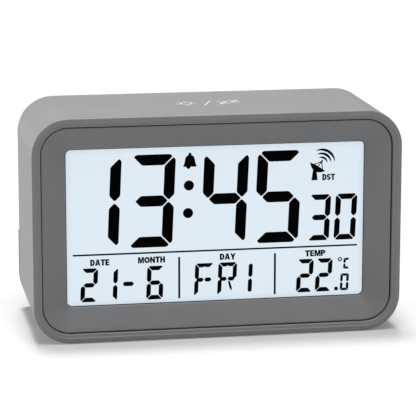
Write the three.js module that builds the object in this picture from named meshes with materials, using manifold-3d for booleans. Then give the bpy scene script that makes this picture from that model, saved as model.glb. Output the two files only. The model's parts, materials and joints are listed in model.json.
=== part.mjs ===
// Radio-controlled alarm clock: a grey moulded desk clock with a backlit liquid crystal display.
// Millimetres, +Z up. The display faces -Y, and the origin is under the middle of the clock.
// While the pieces are made, y = 0 is the front of the rim and y grows towards the back.
import * as THREE from 'three';
import { mergeVertices } from 'three/addons/utils/BufferGeometryUtils.js';
import Module from 'manifold-3d';

const wasm = await Module();
wasm.setup();

// Body
const bodyWidth = 135;
const bodyHeight = 82;
const sleeveDepth = 54;
const cornerRadius = 13.3;
const wall = 2.2;
const edgeRound = 0.55;
const rearEdgeRound = 0.6;
const footProud = 0.6;

// Rim and dished frame round the display
const rimWidth = 3.2;
const rimLip = 0.8;
const grooveWidth = 0.35;
const fasciaSetBack = 1.2;
const fasciaLand = 0.5;
const fasciaWall = 1.6;
const dishDepth = 4;
const windowLip = 1.3;
const borderSide = 9.05;
const borderRise = 8.55;
const windowRadius = 2;
const flangeThickness = 2;
const pegWidth = 5;
const pegThickness = 1;
const pegInset = 24;

// Display stack
const lcdOverlap = 4.2;
const lcdClear = 1.2;
const polariserThickness = 0.2;
const glassThickness = 1.1;
const contactLedge = 2.6;
const diffuserThickness = 0.3;
const guideThickness = 3;
const reflectorThickness = 0.2;
const ledWidth = 2.4;
const ledHeight = 4;
const ledPitch = 17;
const ledCount = 3;
const ledBoardThickness = 0.8;
const carrierWall = 2;
const carrierFloor = 1.2;
const carrierPocketClear = 0.4;
const earReach = 2.6;
const earHeight = 9;
const carrierBossWall = 1;
const stripThickness = 1.8;
const stripInset = 9;

// Boards and what sits on them
const boardThickness = 1.6;
const mainBoardInset = 5;
const mainBoardDrop = 2;
const stakeRadius = 0.9;
const stakeInset = 5;
const stakeHeight = 0.8;
const chipRadius = 8;
const chipHeight = 1.8;
const crystalRadius = 1.5;
const crystalLength = 8;
const crystalSide = 16;
const receiverInset = 18;
const receiverWidth = 18;
const receiverHeight = 14;
const receiverThickness = 1;
const thermistorRadius = 1.4;
const thermistorHeight = 2;
const thermistorInset = 10;

// Aerial and touch field
const rodRadius = 4;
const rodLength = 60;
const rodDepth = 35;
const rodDrop = 9.5;
const coilRadius = 6;
const coilLength = 22;
const coilWaist = 0.8;
const coilFlange = 1.2;
const cradleSpread = 23;
const cradleThickness = 2.4;
const electrodeWidth = 34;
const electrodeDepth = 13;
const electrodeThickness = 0.2;

// Leads and cable
const leadRadius = 0.6;
const leadStraight = 4;
const leadSag = 3;
const leadEndInset = 6;
const leadEndRise = 8;
const touchLeadRun = 10;
const touchLeadDrop = 5;
const ribbonWidth = 10;
const ribbonThickness = 0.8;
const ribbonSide = 8.5;
const ribbonDrop = 5;
const ribbonSag = 3.5;

// Rear housing and battery block
const blockProud = 4.5;
const blockHeight = 30.4;
const blockWall = 1.8;
const blockEdge = 1.2;
const panelThickness = 1.9;
const panelRecess = 0.3;
const skirtWall = 1.6;
const skirtDepth = 3.2;
const tubWall = 1.8;
const doorThickness = 1.75;
const doorOverlap = 1.4;
const doorRadius = 2;
const fingerTabWidth = 11;
const fingerTabRise = 1.6;
const scoopRadius = 9;
const scoopDip = 2.4;
const scoopDepth = 2.4;
const latchWidth = 9;
const latchDepth = 1.4;
const latchThickness = 1;
const latchSwing = 0.7;
const tabWidth = 6;
const tabSpread = 15;
const tabReach = 1.1;
const tabThickness = 0.9;
const tabSwing = 0.8;

// Cells and contacts
const cellDiameter = 10.5;
const cellLength = 44.5;
const cellBead = 0.4;
const nubRadius = 1.9;
const nubLength = 1;
const cellClear = 0.25;
const cellGap = 0.4;
const springLength = 4.8;
const springTurns = 3.5;
const springWire = 0.3;
const springWide = 3.6;
const springNarrow = 2.4;
const contactThickness = 0.5;
const contactWidth = 8.6;
const contactTabWidth = 3;
const contactTabReach = 3;

// Buttons, switch and sounder
const buttonCount = 5;
const buttonPitch = 17;
const buttonWidth = 11;
const buttonHeight = 5.6;
const buttonProud = 1.5;
const buttonTravel = 0.7;
const buttonFlange = 1;
const buttonEdge = 0.5;
const buttonDrop = 19;
const tactWidth = 6;
const tactHeight = 3.3;
const plungerRadius = 1.7;
const plungerLength = 0.9;
const switchDrop = 37;
const switchInset = 27.5;
const switchTravel = 4;
const knobWidth = 4;
const knobHeight = 3;
const knobProud = 1.2;
const knobStem = 1.8;
const knobGroove = 0.4;
const knobGroovePitch = 1;
const switchWall = 1.2;
const switchHeight = 4.4;
const buttonBoardMargin = 4;
const boardPostRadius = 1.4;
const buzzerInset = 31.5;
const buzzerRadius = 11.5;
const buzzerThickness = 0.3;
const ceramicRadius = 8;
const ceramicThickness = 0.25;
const buzzerStandoff = 1;
const slotCount = 5;
const slotLength = 15;
const slotWidth = 1.3;
const slotPitch = 3;

// Fasteners and feet
const screwInset = 10.5;
const screwHeadRadius = 2.8;
const screwHeadHeight = 1.8;
const screwShankRadius = 1.3;
const screwLength = 12;
const boardScrewHeadRadius = 1.9;
const boardScrewHeadHeight = 1.4;
const boardScrewShankRadius = 0.9;
const boardScrewLength = 3.4;
const bossWall = 1.7;
const ribThickness = 1.6;
const wellFloor = 1.8;
const footRadius = 4.6;
const footSunk = 0.7;
const footSideInset = 17.5;
const footInset = 10;

// Clearances
const seat = 0.1;
const stackGap = 0.05;
const fit = 0.25;
const running = 0.3;
const past = 1;

// Places that follow from the sizes above
const baseZ = footProud;
const topZ = baseZ + bodyHeight;
const middleZ = baseZ + bodyHeight / 2;
const overallDepth = sleeveDepth + blockProud;
const fasciaWidth = bodyWidth - 2 * (rimWidth + grooveWidth);
const fasciaHeight = bodyHeight - 2 * (rimWidth + grooveWidth);
const fasciaRadius = cornerRadius - rimWidth - grooveWidth;
const windowWidth = fasciaWidth - 2 * borderSide;
const windowHeight = fasciaHeight - 2 * borderRise;
const pegSpread = fasciaWidth / 2 - pegInset;
const dishBack = fasciaSetBack + dishDepth;
const fasciaBack = dishBack + windowLip;
const flangeFront = fasciaBack + seat;
const flangeBack = flangeFront + flangeThickness;
const lcdWidth = windowWidth + 2 * lcdOverlap;
const lcdHeight = windowHeight + 2 * lcdOverlap;
const lcdBottom = middleZ - lcdHeight / 2;
const lcdTop = middleZ + lcdHeight / 2;
const polariserFront = fasciaBack + seat;
const frontGlass = polariserFront + polariserThickness + stackGap;
const rearGlass = frontGlass + glassThickness + stackGap;
const diffuserFront = rearGlass + glassThickness + stackGap;
const guideFront = diffuserFront + diffuserThickness + stackGap;
const reflectorFront = guideFront + guideThickness + stackGap;
const carrierFront = flangeBack + seat;
const floorFront = reflectorFront + reflectorThickness + stackGap;
const floorBack = floorFront + carrierFloor;
const mainBoardFront = floorBack + seat;
const mainBoardBack = mainBoardFront + boardThickness;
const mainBoardWidth = lcdWidth - 2 * mainBoardInset;
const mainBoardRise = lcdHeight - mainBoardDrop;
const mainBoardBottom = lcdBottom;
const mainBoardTop = mainBoardBottom + mainBoardRise;
const receiverSide = mainBoardWidth / 2 - receiverInset;
const stripLength = lcdWidth - 2 * stripInset;
const stackBottom = lcdBottom + contactLedge;
const carrierBossRadius = boardScrewShankRadius + running + carrierBossWall;
const ledBoardX = lcdWidth / 2 - ledBoardThickness;
const ledX = ledBoardX - stackGap - ledWidth;
const guideRight = ledX - stackGap;
const stakeSpread = mainBoardWidth / 2 - stakeInset;
const stakeRise = mainBoardRise / 2 - stakeInset;
const panelBack = sleeveDepth - panelRecess;
const panelFront = panelBack - panelThickness;
const skirtFront = panelFront - skirtDepth;
const bossBack = skirtFront - seat;
const blockFront = sleeveDepth + fit;
const blockTop = baseZ + blockHeight;
const doorFront = overallDepth - doorThickness;
const ledgeBack = doorFront - seat;
const bayLength = cellLength + springLength + 2 * contactThickness + 4 * seat;
const bayHeight = 2 * cellDiameter + cellGap + 2 * cellClear;
const bayBottom = baseZ + wall + fit + tubWall;
const bayTop = bayBottom + bayHeight;
const bayFloor = ledgeBack - cellDiameter - 2 * cellClear;
const cellY = bayFloor + cellClear + cellDiameter / 2;
const lowerCellZ = bayBottom + cellClear + cellDiameter / 2;
const upperCellZ = lowerCellZ + cellDiameter + cellGap;
const doorWidth = bayLength + 2 * doorOverlap;
const doorBottom = bayBottom - doorOverlap;
const doorTop = bayTop + doorOverlap;
const buttonZ = topZ - buttonDrop;
const switchZ = topZ - switchDrop;
const switchSide = switchInset - bodyWidth / 2;
const buzzerSide = bodyWidth / 2 - buzzerInset;
const footSide = bodyWidth / 2 - footSideInset;
const buttonFlangeBack = panelFront - seat;
const buttonFlangeFront = buttonFlangeBack - buttonFlange;
const plungerBack = buttonFlangeFront - buttonTravel - seat;
const tactBack = plungerBack - plungerLength;
const buttonBoardBack = tactBack - tactHeight - stackGap;
const buttonBoardFront = buttonBoardBack - boardThickness;
const wellRadius = screwHeadRadius + running;
const screwHole = screwShankRadius + running;
const screwHeadFront = skirtFront + wellFloor + seat;
const screwX = bodyWidth / 2 - screwInset;
const electrodeTop = topZ - wall - seat;
const rodZ = topZ - rodDrop - wall;

// Finishes
const greyPlastic = { color: 0x87888a, roughness: 0.55, metalness: 0 };
const darkerGrey = { color: 0x7b7c7e, roughness: 0.5, metalness: 0 };
const whitePlastic = { color: 0xe9eaea, roughness: 0.6, metalness: 0 };
const blackRubber = { color: 0x1d1e20, roughness: 0.85, metalness: 0 };
const displayFilm = { color: 0xdce9f2, roughness: 0.35, metalness: 0 };
const clearGlass = { color: 0xd8e4ea, roughness: 0.08, metalness: 0 };
const boardGreen = { color: 0x1f5a3a, roughness: 0.5, metalness: 0 };
const darkChip = { color: 0x141517, roughness: 0.45, metalness: 0 };
const steel = { color: 0xb9bcc0, roughness: 0.3, metalness: 1 };
const brass = { color: 0xc8a24a, roughness: 0.35, metalness: 1 };
const copper = { color: 0xb26a3c, roughness: 0.4, metalness: 1 };
const ferrite = { color: 0x35363a, roughness: 0.7, metalness: 0 };
const ceramicWhite = { color: 0xe4dfd2, roughness: 0.5, metalness: 0 };
const cellSleeve = { color: 0x3a5f7d, roughness: 0.35, metalness: 0.2 };
const redLead = { color: 0xa32020, roughness: 0.5, metalness: 0 };
const blackLead = { color: 0x202020, roughness: 0.5, metalness: 0 };
const greyRibbon = { color: 0xa9abad, roughness: 0.6, metalness: 0 };

// Facets
const cornerSteps = 8;
const smallCornerSteps = 4;
const edgeSteps = 3;
const roundSides = 20;
const smallSides = 12;
const wideSides = 28;
const wireSides = 8;
const domeSteps = 6;
const springSides = 5;
const springSteps = 8;
const wireSteps = 14;

// Turns a closed geometry into a solid that can be joined and cut.
function solid(geometry) {
  const bare = geometry.clone();
  bare.deleteAttribute('normal');
  bare.deleteAttribute('uv');
  const merged = mergeVertices(bare, 1e-4);
  const index = merged.index.array;
  const triangles = [];
  for (let i = 0; i < index.length; i += 3) {
    const [a, b, c] = [index[i], index[i + 1], index[i + 2]];
    if (a !== b && b !== c && c !== a) {
      triangles.push(a, b, c);
    }
  }
  const positions = new Float32Array(merged.attributes.position.array);
  if (signedVolume(positions, triangles) < 0) {
    triangles.reverse();
  }
  return new wasm.Manifold(new wasm.Mesh({
    numProp: 3, vertProperties: positions, triVerts: new Uint32Array(triangles),
  }));
}

// Negative where the faces of a closed surface point inwards.
function signedVolume(positions, triangles) {
  const corner = (i) => new THREE.Vector3().fromArray(positions, 3 * triangles[i]);
  let volume = 0;
  for (let i = 0; i < triangles.length; i += 3) {
    volume += corner(i).dot(corner(i + 1).cross(corner(i + 2))) / 6;
  }
  return volume;
}

function join(first, ...others) {
  return others.reduce((whole, other) => whole.add(other), first);
}

function cut(first, ...others) {
  return others.reduce((whole, other) => whole.subtract(other), first);
}

// A named piece of the clock with its finish.
function piece(name, body, finish) {
  const { vertProperties, triVerts } = body.getMesh();
  const geometry = new THREE.BufferGeometry();
  geometry.setAttribute('position', new THREE.BufferAttribute(new Float32Array(vertProperties), 3));
  geometry.setIndex(new THREE.BufferAttribute(new Uint32Array(triVerts), 1));
  geometry.computeVertexNormals();
  const mesh = new THREE.Mesh(geometry, new THREE.MeshStandardMaterial(finish));
  mesh.name = name;
  return mesh;
}

// The points of a rounded rectangle seen from the front, anticlockwise.
function roundedOutline(width, height, radius, x = 0, z = middleZ, steps = cornerSteps) {
  const points = [];
  const corners = [[1, -1], [1, 1], [-1, 1], [-1, -1]];
  corners.forEach(([sideX, sideZ], quarter) => {
    for (let step = 0; step <= steps; step += 1) {
      const angle = (quarter - 1 + step / steps) * Math.PI / 2;
      points.push(new THREE.Vector2(
        x + sideX * (width / 2 - radius) + radius * Math.cos(angle),
        z + sideZ * (height / 2 - radius) + radius * Math.sin(angle),
      ));
    }
  });
  return points;
}

// A solid through outlines of equal point counts, each at its own depth y.
function loft(sections) {
  const count = sections[0].outline.length;
  const positions = sections.flatMap(({ outline, y }) => outline.flatMap((point) => [point.x, y, point.y]));
  const triangles = [];
  for (let ring = 0; ring + 1 < sections.length; ring += 1) {
    for (let i = 0; i < count; i += 1) {
      const front = ring * count + i;
      const frontNext = ring * count + (i + 1) % count;
      triangles.push(front, front + count, frontNext + count);
      triangles.push(front, frontNext + count, frontNext);
    }
  }
  const last = (sections.length - 1) * count;
  THREE.ShapeUtils.triangulateShape(sections[0].outline, []).forEach(([a, b, c]) => triangles.push(a, b, c));
  THREE.ShapeUtils.triangulateShape(sections.at(-1).outline, [])
    .forEach(([a, b, c]) => triangles.push(last + a, last + c, last + b));
  const geometry = new THREE.BufferGeometry();
  geometry.setAttribute('position', new THREE.BufferAttribute(new Float32Array(positions), 3));
  geometry.setIndex(triangles);
  return solid(geometry);
}

// A flat slab of one outline between two depths.
function slab(outline, front, back) {
  return loft([{ outline, y: front }, { outline, y: back }]);
}

// Outlines that round off the front edge, the rear edge or both.
function roundedEdges(size) {
  const { width, height, radius, front, back, frontRound = 0, rearRound = 0, x = 0, z = middleZ, steps } = size;
  const ring = (inset, y) => ({
    outline: roundedOutline(width - 2 * inset, height - 2 * inset, radius - inset, x, z, steps),
    y,
  });
  const angles = Array.from({ length: edgeSteps + 1 }, (_, step) => step / edgeSteps * Math.PI / 2);
  const frontRings = frontRound === 0 ? [ring(0, front)] : angles.map((angle) => ring(
    frontRound * (1 - Math.sin(angle)), front + frontRound * (1 - Math.cos(angle))));
  const rearRings = rearRound === 0 ? [ring(0, back)] : angles.map((angle) => ring(
    rearRound * (1 - Math.cos(angle)), back - rearRound * (1 - Math.sin(angle))));
  return [...frontRings, ...rearRings];
}

function box(x0, x1, y0, y1, z0, z1) {
  const geometry = new THREE.BoxGeometry(x1 - x0, y1 - y0, z1 - z0);
  geometry.translate((x0 + x1) / 2, (y0 + y1) / 2, (z0 + z1) / 2);
  return solid(geometry);
}

// A round post along y.
function post(x, z, radius, front, back, sides = roundSides) {
  const geometry = new THREE.CylinderGeometry(radius, radius, back - front, sides);
  geometry.translate(x, (front + back) / 2, z);
  return solid(geometry);
}

// A turned piece: the profile's points give radius and y, and it stands at x, z.
function turned(profile, x, z, sides = roundSides) {
  const points = profile.map(([radius, y]) => new THREE.Vector2(radius, y));
  const geometry = new THREE.LatheGeometry(points, sides);
  geometry.translate(x, 0, z);
  return solid(geometry);
}

// A turned piece that lies along x, with its middle at x, y, z.
function turnedAcross(profile, x, y, z, sides = roundSides) {
  const points = profile.map(([radius, along]) => new THREE.Vector2(radius, along));
  const geometry = new THREE.LatheGeometry(points, sides);
  geometry.rotateZ(-Math.PI / 2);
  geometry.translate(x, y, z);
  return solid(geometry);
}

// A round wire along a curve, closed at both ends.
function wire(curve, radius, steps, sides) {
  const section = Array.from({ length: sides }, (_, side) => new THREE.Vector2(
    radius * Math.cos(side / sides * Math.PI * 2), radius * Math.sin(side / sides * Math.PI * 2)));
  const geometry = new THREE.ExtrudeGeometry(new THREE.Shape(section), {
    steps, extrudePath: curve, bevelEnabled: false,
  });
  return solid(geometry);
}

// Front pieces

function frontHousing() {
  const openingWidth = bodyWidth - 2 * rimWidth;
  const openingHeight = bodyHeight - 2 * rimWidth;
  const openingRadius = cornerRadius - rimWidth;
  const lipOutline = (grow) => roundedOutline(
    openingWidth + 2 * grow, openingHeight + 2 * grow, openingRadius + grow);
  const sleeve = loft(roundedEdges({
    width: bodyWidth, height: bodyHeight, radius: cornerRadius, front: 0, back: sleeveDepth,
    frontRound: edgeRound, rearRound: rearEdgeRound,
  }));
  const opening = loft([
    { outline: lipOutline(rimLip + past), y: -past },
    { outline: lipOutline(0), y: rimLip },
    { outline: lipOutline(0), y: flangeFront },
  ]);
  const flangeHole = slab(
    roundedOutline(lcdWidth + 2 * lcdClear, lcdHeight + 2 * lcdClear, windowRadius), 0, flangeBack + past);
  const inside = roundedOutline(bodyWidth - 2 * wall, bodyHeight - 2 * wall, cornerRadius - wall);
  const cavity = slab(inside, flangeBack, sleeveDepth + past);
  const shell = cut(sleeve, opening, flangeHole, cavity);
  const built = join(shell, ...caseBosses(), ...carrierBosses(), ...antennaCradles());
  return cut(built, ...caseBossHoles(), ...carrierBossHoles(), ...pegSlots(), ...footRecesses());
}

function caseScrewPlaces() {
  const lower = baseZ + screwInset;
  const upper = topZ - screwInset;
  return [[-screwX, lower], [screwX, lower], [-screwX, upper], [screwX, upper]];
}

// A screw boss stands in each corner, tied to the two walls by ribs.
function caseBosses() {
  const front = bossBack - 2 * screwLength;
  return caseScrewPlaces().flatMap(([x, z]) => {
    const outX = Math.sign(x) * (bodyWidth / 2 - wall / 2);
    const outZ = z < middleZ ? baseZ + wall / 2 : topZ - wall / 2;
    const half = ribThickness / 2;
    return [
      post(x, z, screwHole + bossWall, front, bossBack),
      box(Math.min(x, outX), Math.max(x, outX), front, bossBack, z - half, z + half),
      box(x - half, x + half, front, bossBack, Math.min(z, outZ), Math.max(z, outZ)),
    ];
  });
}

function caseBossHoles() {
  return caseScrewPlaces().map(([x, z]) => post(x, z, screwHole, bossBack - screwLength, bossBack + past));
}

function carrierScrewX() {
  return lcdWidth / 2 + carrierPocketClear + carrierWall + earReach / 2;
}

function carrierBosses() {
  return [-1, 1].map((side) => post(
    side * carrierScrewX(), middleZ, carrierBossRadius, flangeFront + seat, floorFront - seat, smallSides));
}

function carrierBossHoles() {
  return [-1, 1].map((side) => post(
    side * carrierScrewX(), middleZ, boardScrewShankRadius + running,
    floorFront - boardScrewLength, floorFront + past, smallSides));
}

// Two ribs hang from the top and take the aerial rod in a slot that is open below.
function antennaCradles() {
  const half = cradleThickness / 2;
  const notch = rodRadius + seat;
  return [-1, 1].map((side) => {
    const x = side * cradleSpread;
    const rib = box(x - half, x + half, rodDepth - 2 * rodRadius, rodDepth + 2 * rodRadius,
      rodZ - rodRadius, topZ - wall / 2);
    const slot = box(x - past - half, x + past + half, rodDepth - notch, rodDepth + notch,
      rodZ - 2 * rodRadius, rodZ);
    const round = turnedAcross(
      [[0, -past - half], [notch, -past - half], [notch, past + half], [0, past + half]], x, rodDepth, rodZ);
    return cut(rib, slot, round);
  });
}

function pegPlaces() {
  const rise = fasciaHeight / 2 - fasciaWall / 2;
  return [[-pegSpread, -rise], [pegSpread, -rise], [-pegSpread, rise], [pegSpread, rise]];
}

function pegSlots() {
  const halfWidth = pegWidth / 2 + running;
  const halfHeight = pegThickness / 2 + running;
  return pegPlaces().map(([x, rise]) => box(
    x - halfWidth, x + halfWidth, flangeFront - past, flangeBack + past,
    middleZ + rise - halfHeight, middleZ + rise + halfHeight));
}

function footPlaces() {
  const front = footInset;
  const rear = sleeveDepth - footInset;
  return [[-footSide, front], [footSide, front], [-footSide, rear], [footSide, rear]];
}

function disc(x, y, radius, bottom, top) {
  const geometry = new THREE.CylinderGeometry(radius, radius, top - bottom, roundSides);
  geometry.rotateX(Math.PI / 2);
  geometry.translate(x, y, (bottom + top) / 2);
  return solid(geometry);
}

function footRecesses() {
  return footPlaces().map(([x, y]) => disc(x, y, footRadius + fit, baseZ - past, baseZ + footSunk + seat));
}

function foot([x, y]) {
  return disc(x, y, footRadius, 0, baseZ + footSunk);
}

// The frame slopes inwards from its land to the edge of the display, with an even wall behind the slope.
function fasciaFrame() {
  const landInset = 2 * fasciaLand;
  const land = roundedOutline(fasciaWidth - landInset, fasciaHeight - landInset, fasciaRadius - fasciaLand);
  const window = roundedOutline(windowWidth, windowHeight, windowRadius);
  const dish = loft([
    { outline: land, y: -fasciaWall - past },
    { outline: land, y: fasciaSetBack },
    { outline: window, y: dishBack },
    { outline: window, y: fasciaBack + past },
  ]);
  const inset = 2 * fasciaWall;
  const block = slab(roundedOutline(fasciaWidth, fasciaHeight, fasciaRadius), fasciaSetBack, fasciaBack);
  const behind = slab(
    roundedOutline(fasciaWidth - inset, fasciaHeight - inset, fasciaRadius - fasciaWall),
    fasciaSetBack, fasciaBack + past);
  const pegs = pegPlaces().map(([x, rise]) => box(
    x - pegWidth / 2, x + pegWidth / 2, fasciaBack - fasciaWall, flangeBack,
    middleZ + rise - pegThickness / 2, middleZ + rise + pegThickness / 2));
  return join(cut(block, dish, behind.subtract(dish.translate([0, fasciaWall, 0]))), ...pegs);
}

// Display stack, from the front film to the reflector

function sheet(width, bottom, top, front, thickness) {
  return box(-width / 2, width / 2, front, front + thickness, bottom, top);
}

function displaySheet(bottom, front, thickness) {
  return sheet(lcdWidth, bottom, lcdTop, front, thickness);
}

function lightGuide() {
  const left = -lcdWidth / 2;
  return box(left, guideRight, guideFront, guideFront + guideThickness, stackBottom, lcdTop);
}

function backlightBoard() {
  const half = (ledCount - 1) * ledPitch / 2 + ledHeight;
  return box(ledBoardX, ledBoardX + ledBoardThickness, guideFront, guideFront + guideThickness,
    middleZ - half, middleZ + half);
}

function backlightLed(number) {
  const z = middleZ + (number - (ledCount - 1) / 2) * ledPitch;
  const lens = box(ledX, ledX + ledWidth / 2, guideFront + fit, guideFront + guideThickness - fit,
    z - ledHeight / 2 + fit, z + ledHeight / 2 - fit);
  const body = box(ledX + ledWidth / 2, ledX + ledWidth, guideFront, guideFront + guideThickness,
    z - ledHeight / 2, z + ledHeight / 2);
  return join(lens, body);
}

function stripPlace() {
  return lcdBottom + contactLedge / 2;
}

function contactStrip() {
  return sheet(stripLength, stripPlace() - stripThickness / 2, stripPlace() + stripThickness / 2,
    frontGlass + glassThickness + stackGap, mainBoardFront - stackGap - frontGlass - glassThickness - stackGap);
}

function stakePlaces() {
  const z = (mainBoardBottom + mainBoardTop) / 2;
  return [[-stakeSpread, z - stakeRise], [stakeSpread, z - stakeRise],
    [-stakeSpread, z + stakeRise], [stakeSpread, z + stakeRise]];
}

// A tray behind the display: walls, a floor, two screw ears and four stakes for the main board.
function displayCarrier() {
  const pocketWidth = lcdWidth + 2 * carrierPocketClear;
  const pocketHeight = lcdHeight + 2 * carrierPocketClear;
  const tray = slab(roundedOutline(
    pocketWidth + 2 * carrierWall, pocketHeight + 2 * carrierWall, windowRadius), carrierFront, floorBack);
  const pocket = slab(
    roundedOutline(pocketWidth, pocketHeight, carrierPocketClear, 0, middleZ, smallCornerSteps),
    carrierFront - past, floorFront);
  const outer = pocketWidth / 2 + carrierWall;
  const ears = [-1, 1].map((side) => box(
    Math.min(side * (outer - carrierWall), side * (outer + earReach)),
    Math.max(side * (outer - carrierWall), side * (outer + earReach)),
    floorFront, floorBack, middleZ - earHeight / 2, middleZ + earHeight / 2));
  const stakes = stakePlaces().map(([x, z]) => post(
    x, z, stakeRadius, floorFront + carrierFloor / 2, mainBoardBack + stakeHeight, smallSides));
  const earHoles = [-1, 1].map((side) => post(
    side * carrierScrewX(), middleZ, boardScrewShankRadius + running,
    floorFront - past, floorBack + past, smallSides));
  const bossNotches = [-1, 1].map((side) => post(
    side * carrierScrewX(), middleZ, carrierBossRadius + running, carrierFront - past, floorFront, smallSides));
  const stripSlot = sheet(stripLength + 2 * running, stripPlace() - stripThickness / 2 - running,
    stripPlace() + stripThickness / 2 + running, floorFront - past, carrierFloor + 2 * past);
  return cut(join(tray.subtract(pocket), ...ears, ...stakes), stripSlot, ...earHoles, ...bossNotches);
}

function boardScrew(side) {
  const x = side * carrierScrewX();
  const headFront = floorBack + seat;
  return turned([
    [0, headFront - boardScrewLength], [boardScrewShankRadius, headFront - boardScrewLength],
    [boardScrewShankRadius, headFront], [boardScrewHeadRadius, headFront],
    [boardScrewHeadRadius, headFront + boardScrewHeadHeight / 2],
    [boardScrewHeadRadius / 2, headFront + boardScrewHeadHeight], [0, headFront + boardScrewHeadHeight],
  ], x, middleZ, smallSides);
}

// Main board and its pieces

function mainBoard() {
  const blank = box(-mainBoardWidth / 2, mainBoardWidth / 2, mainBoardFront, mainBoardBack,
    mainBoardBottom, mainBoardTop);
  const holes = stakePlaces().map(([x, z]) => post(
    x, z, stakeRadius + running, mainBoardFront - past, mainBoardBack + past, smallSides));
  return cut(blank, ...holes);
}

const onBoard = mainBoardBack + stackGap;

// A low round drop of black resin over the bare clock chip.
function clockChip() {
  const profile = [[0, onBoard]];
  for (let step = 0; step < domeSteps; step += 1) {
    const angle = step / domeSteps * Math.PI / 2;
    profile.push([chipRadius * Math.cos(angle), onBoard + chipHeight * Math.sin(angle)]);
  }
  profile.push([0, onBoard + chipHeight]);
  return turned(profile, -chipRadius, middleZ);
}

function quartzCrystal() {
  const half = crystalLength / 2;
  return turnedAcross([
    [0, -half], [crystalRadius, -half], [crystalRadius, half - crystalRadius / 2],
    [crystalRadius / 2, half], [0, half],
  ], crystalSide, onBoard + crystalRadius, middleZ, smallSides);
}

function receiverBoard() {
  const half = receiverWidth / 2;
  return box(receiverSide - half, receiverSide + half, onBoard, onBoard + receiverThickness,
    middleZ + receiverHeight / 2, middleZ + 3 * receiverHeight / 2);
}

function thermistor() {
  const profile = [[0, onBoard]];
  for (let step = 1; step < domeSteps; step += 1) {
    const angle = step / domeSteps * Math.PI;
    profile.push([thermistorRadius * Math.sin(angle), onBoard + thermistorHeight * (1 - Math.cos(angle)) / 2]);
  }
  profile.push([0, onBoard + thermistorHeight]);
  return turned(profile, thermistorInset - mainBoardWidth / 2, mainBoardBottom + thermistorInset, smallSides);
}

// Aerial and touch field

function ferriteRod() {
  const half = rodLength / 2;
  return turnedAcross([[0, -half], [rodRadius, -half], [rodRadius, half], [0, half]], 0, rodDepth, rodZ);
}

function antennaCoil() {
  const half = coilLength / 2;
  const bore = rodRadius + seat;
  const waist = coilRadius - coilWaist;
  const inner = half - coilFlange;
  return turnedAcross([
    [bore, -half], [coilRadius, -half], [coilRadius, -inner], [waist, -inner],
    [waist, inner], [coilRadius, inner], [coilRadius, half], [bore, half], [bore, -half],
  ], 0, rodDepth, rodZ);
}

function touchElectrode() {
  const halfDepth = electrodeDepth / 2;
  return box(-electrodeWidth / 2, electrodeWidth / 2, rodDepth - halfDepth, rodDepth + halfDepth,
    electrodeTop - electrodeThickness, electrodeTop);
}

function curveThrough(points) {
  return new THREE.CatmullRomCurve3(points.map(([x, y, z]) => new THREE.Vector3(x, y, z)));
}

// The lead hangs from the foil and ends on the upper part of the main board.
function touchLead() {
  const start = electrodeTop - electrodeThickness - leadRadius - running;
  const nearBoard = onBoard + leadRadius + running;
  return wire(curveThrough([
    [0, rodDepth - leadStraight, start], [0, rodDepth - 2 * leadStraight, start - running],
    [0, rodDepth - leadStraight - touchLeadRun, start - leadSag],
    [0, nearBoard + leadRadius, mainBoardTop - leadRadius], [0, nearBoard, mainBoardTop - touchLeadDrop],
  ]), leadRadius, wireSteps, wireSides);
}

function batteryLead(z) {
  const endX = -bayLength / 2 - leadEndInset;
  const endZ = z + leadEndRise;
  const tabFront = bayFloor - tubWall - contactTabReach - leadRadius - running;
  const tabX = -bayLength / 2 + seat + contactThickness / 2;
  const end = onBoard + running;
  return wire(curveThrough([
    [tabX, tabFront + leadRadius, z], [tabX, tabFront - leadStraight, z],
    [(tabX + endX) / 2, (tabFront + end) / 2, (z + endZ) / 2 - leadSag],
    [endX, end + leadStraight, endZ], [endX, end, endZ],
  ]), leadRadius, wireSteps, wireSides);
}

// A flat cable from the main board to the button board.
function ribbonCable() {
  const shape = new THREE.Shape();
  shape.moveTo(-ribbonWidth / 2, -ribbonThickness / 2);
  shape.lineTo(ribbonWidth / 2, -ribbonThickness / 2);
  shape.lineTo(ribbonWidth / 2, ribbonThickness / 2);
  shape.lineTo(-ribbonWidth / 2, ribbonThickness / 2);
  const from = onBoard + running;
  const to = buttonBoardFront - running;
  const path = curveThrough([
    [ribbonSide, from, buttonZ - ribbonDrop], [ribbonSide, from + leadStraight, buttonZ - ribbonDrop - running],
    [ribbonSide, (from + to) / 2, buttonZ - ribbonDrop - ribbonSag],
    [ribbonSide, to - leadStraight, buttonZ - ribbonDrop - running], [ribbonSide, to, buttonZ - ribbonDrop],
  ]);
  return solid(new THREE.ExtrudeGeometry(shape, { steps: wireSteps, extrudePath: path, bevelEnabled: false }));
}

// Rear housing

const panelWidth = bodyWidth - 2 * (wall + fit);
const panelHeight = bodyHeight - 2 * (wall + fit);
const panelRadius = cornerRadius - wall - fit;

function panelOutline(inset = 0) {
  return roundedOutline(panelWidth - 2 * inset, panelHeight - 2 * inset, panelRadius - inset);
}

function rearHousing() {
  const panel = slab(panelOutline(), panelFront, panelBack);
  const skirt = cut(
    slab(panelOutline(), skirtFront, panelBack), slab(panelOutline(skirtWall), skirtFront - past, panelFront));
  const shell = cut(join(panel, skirt, ...batteryBlock()), ...blockHollows());
  const built = join(shell, batteryTub(), ...screwWells(), ...boardPosts(), buzzerSeat());
  return cut(built, ...bayCuts(), ...screwWellCuts(), ...panelHoles());
}

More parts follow.
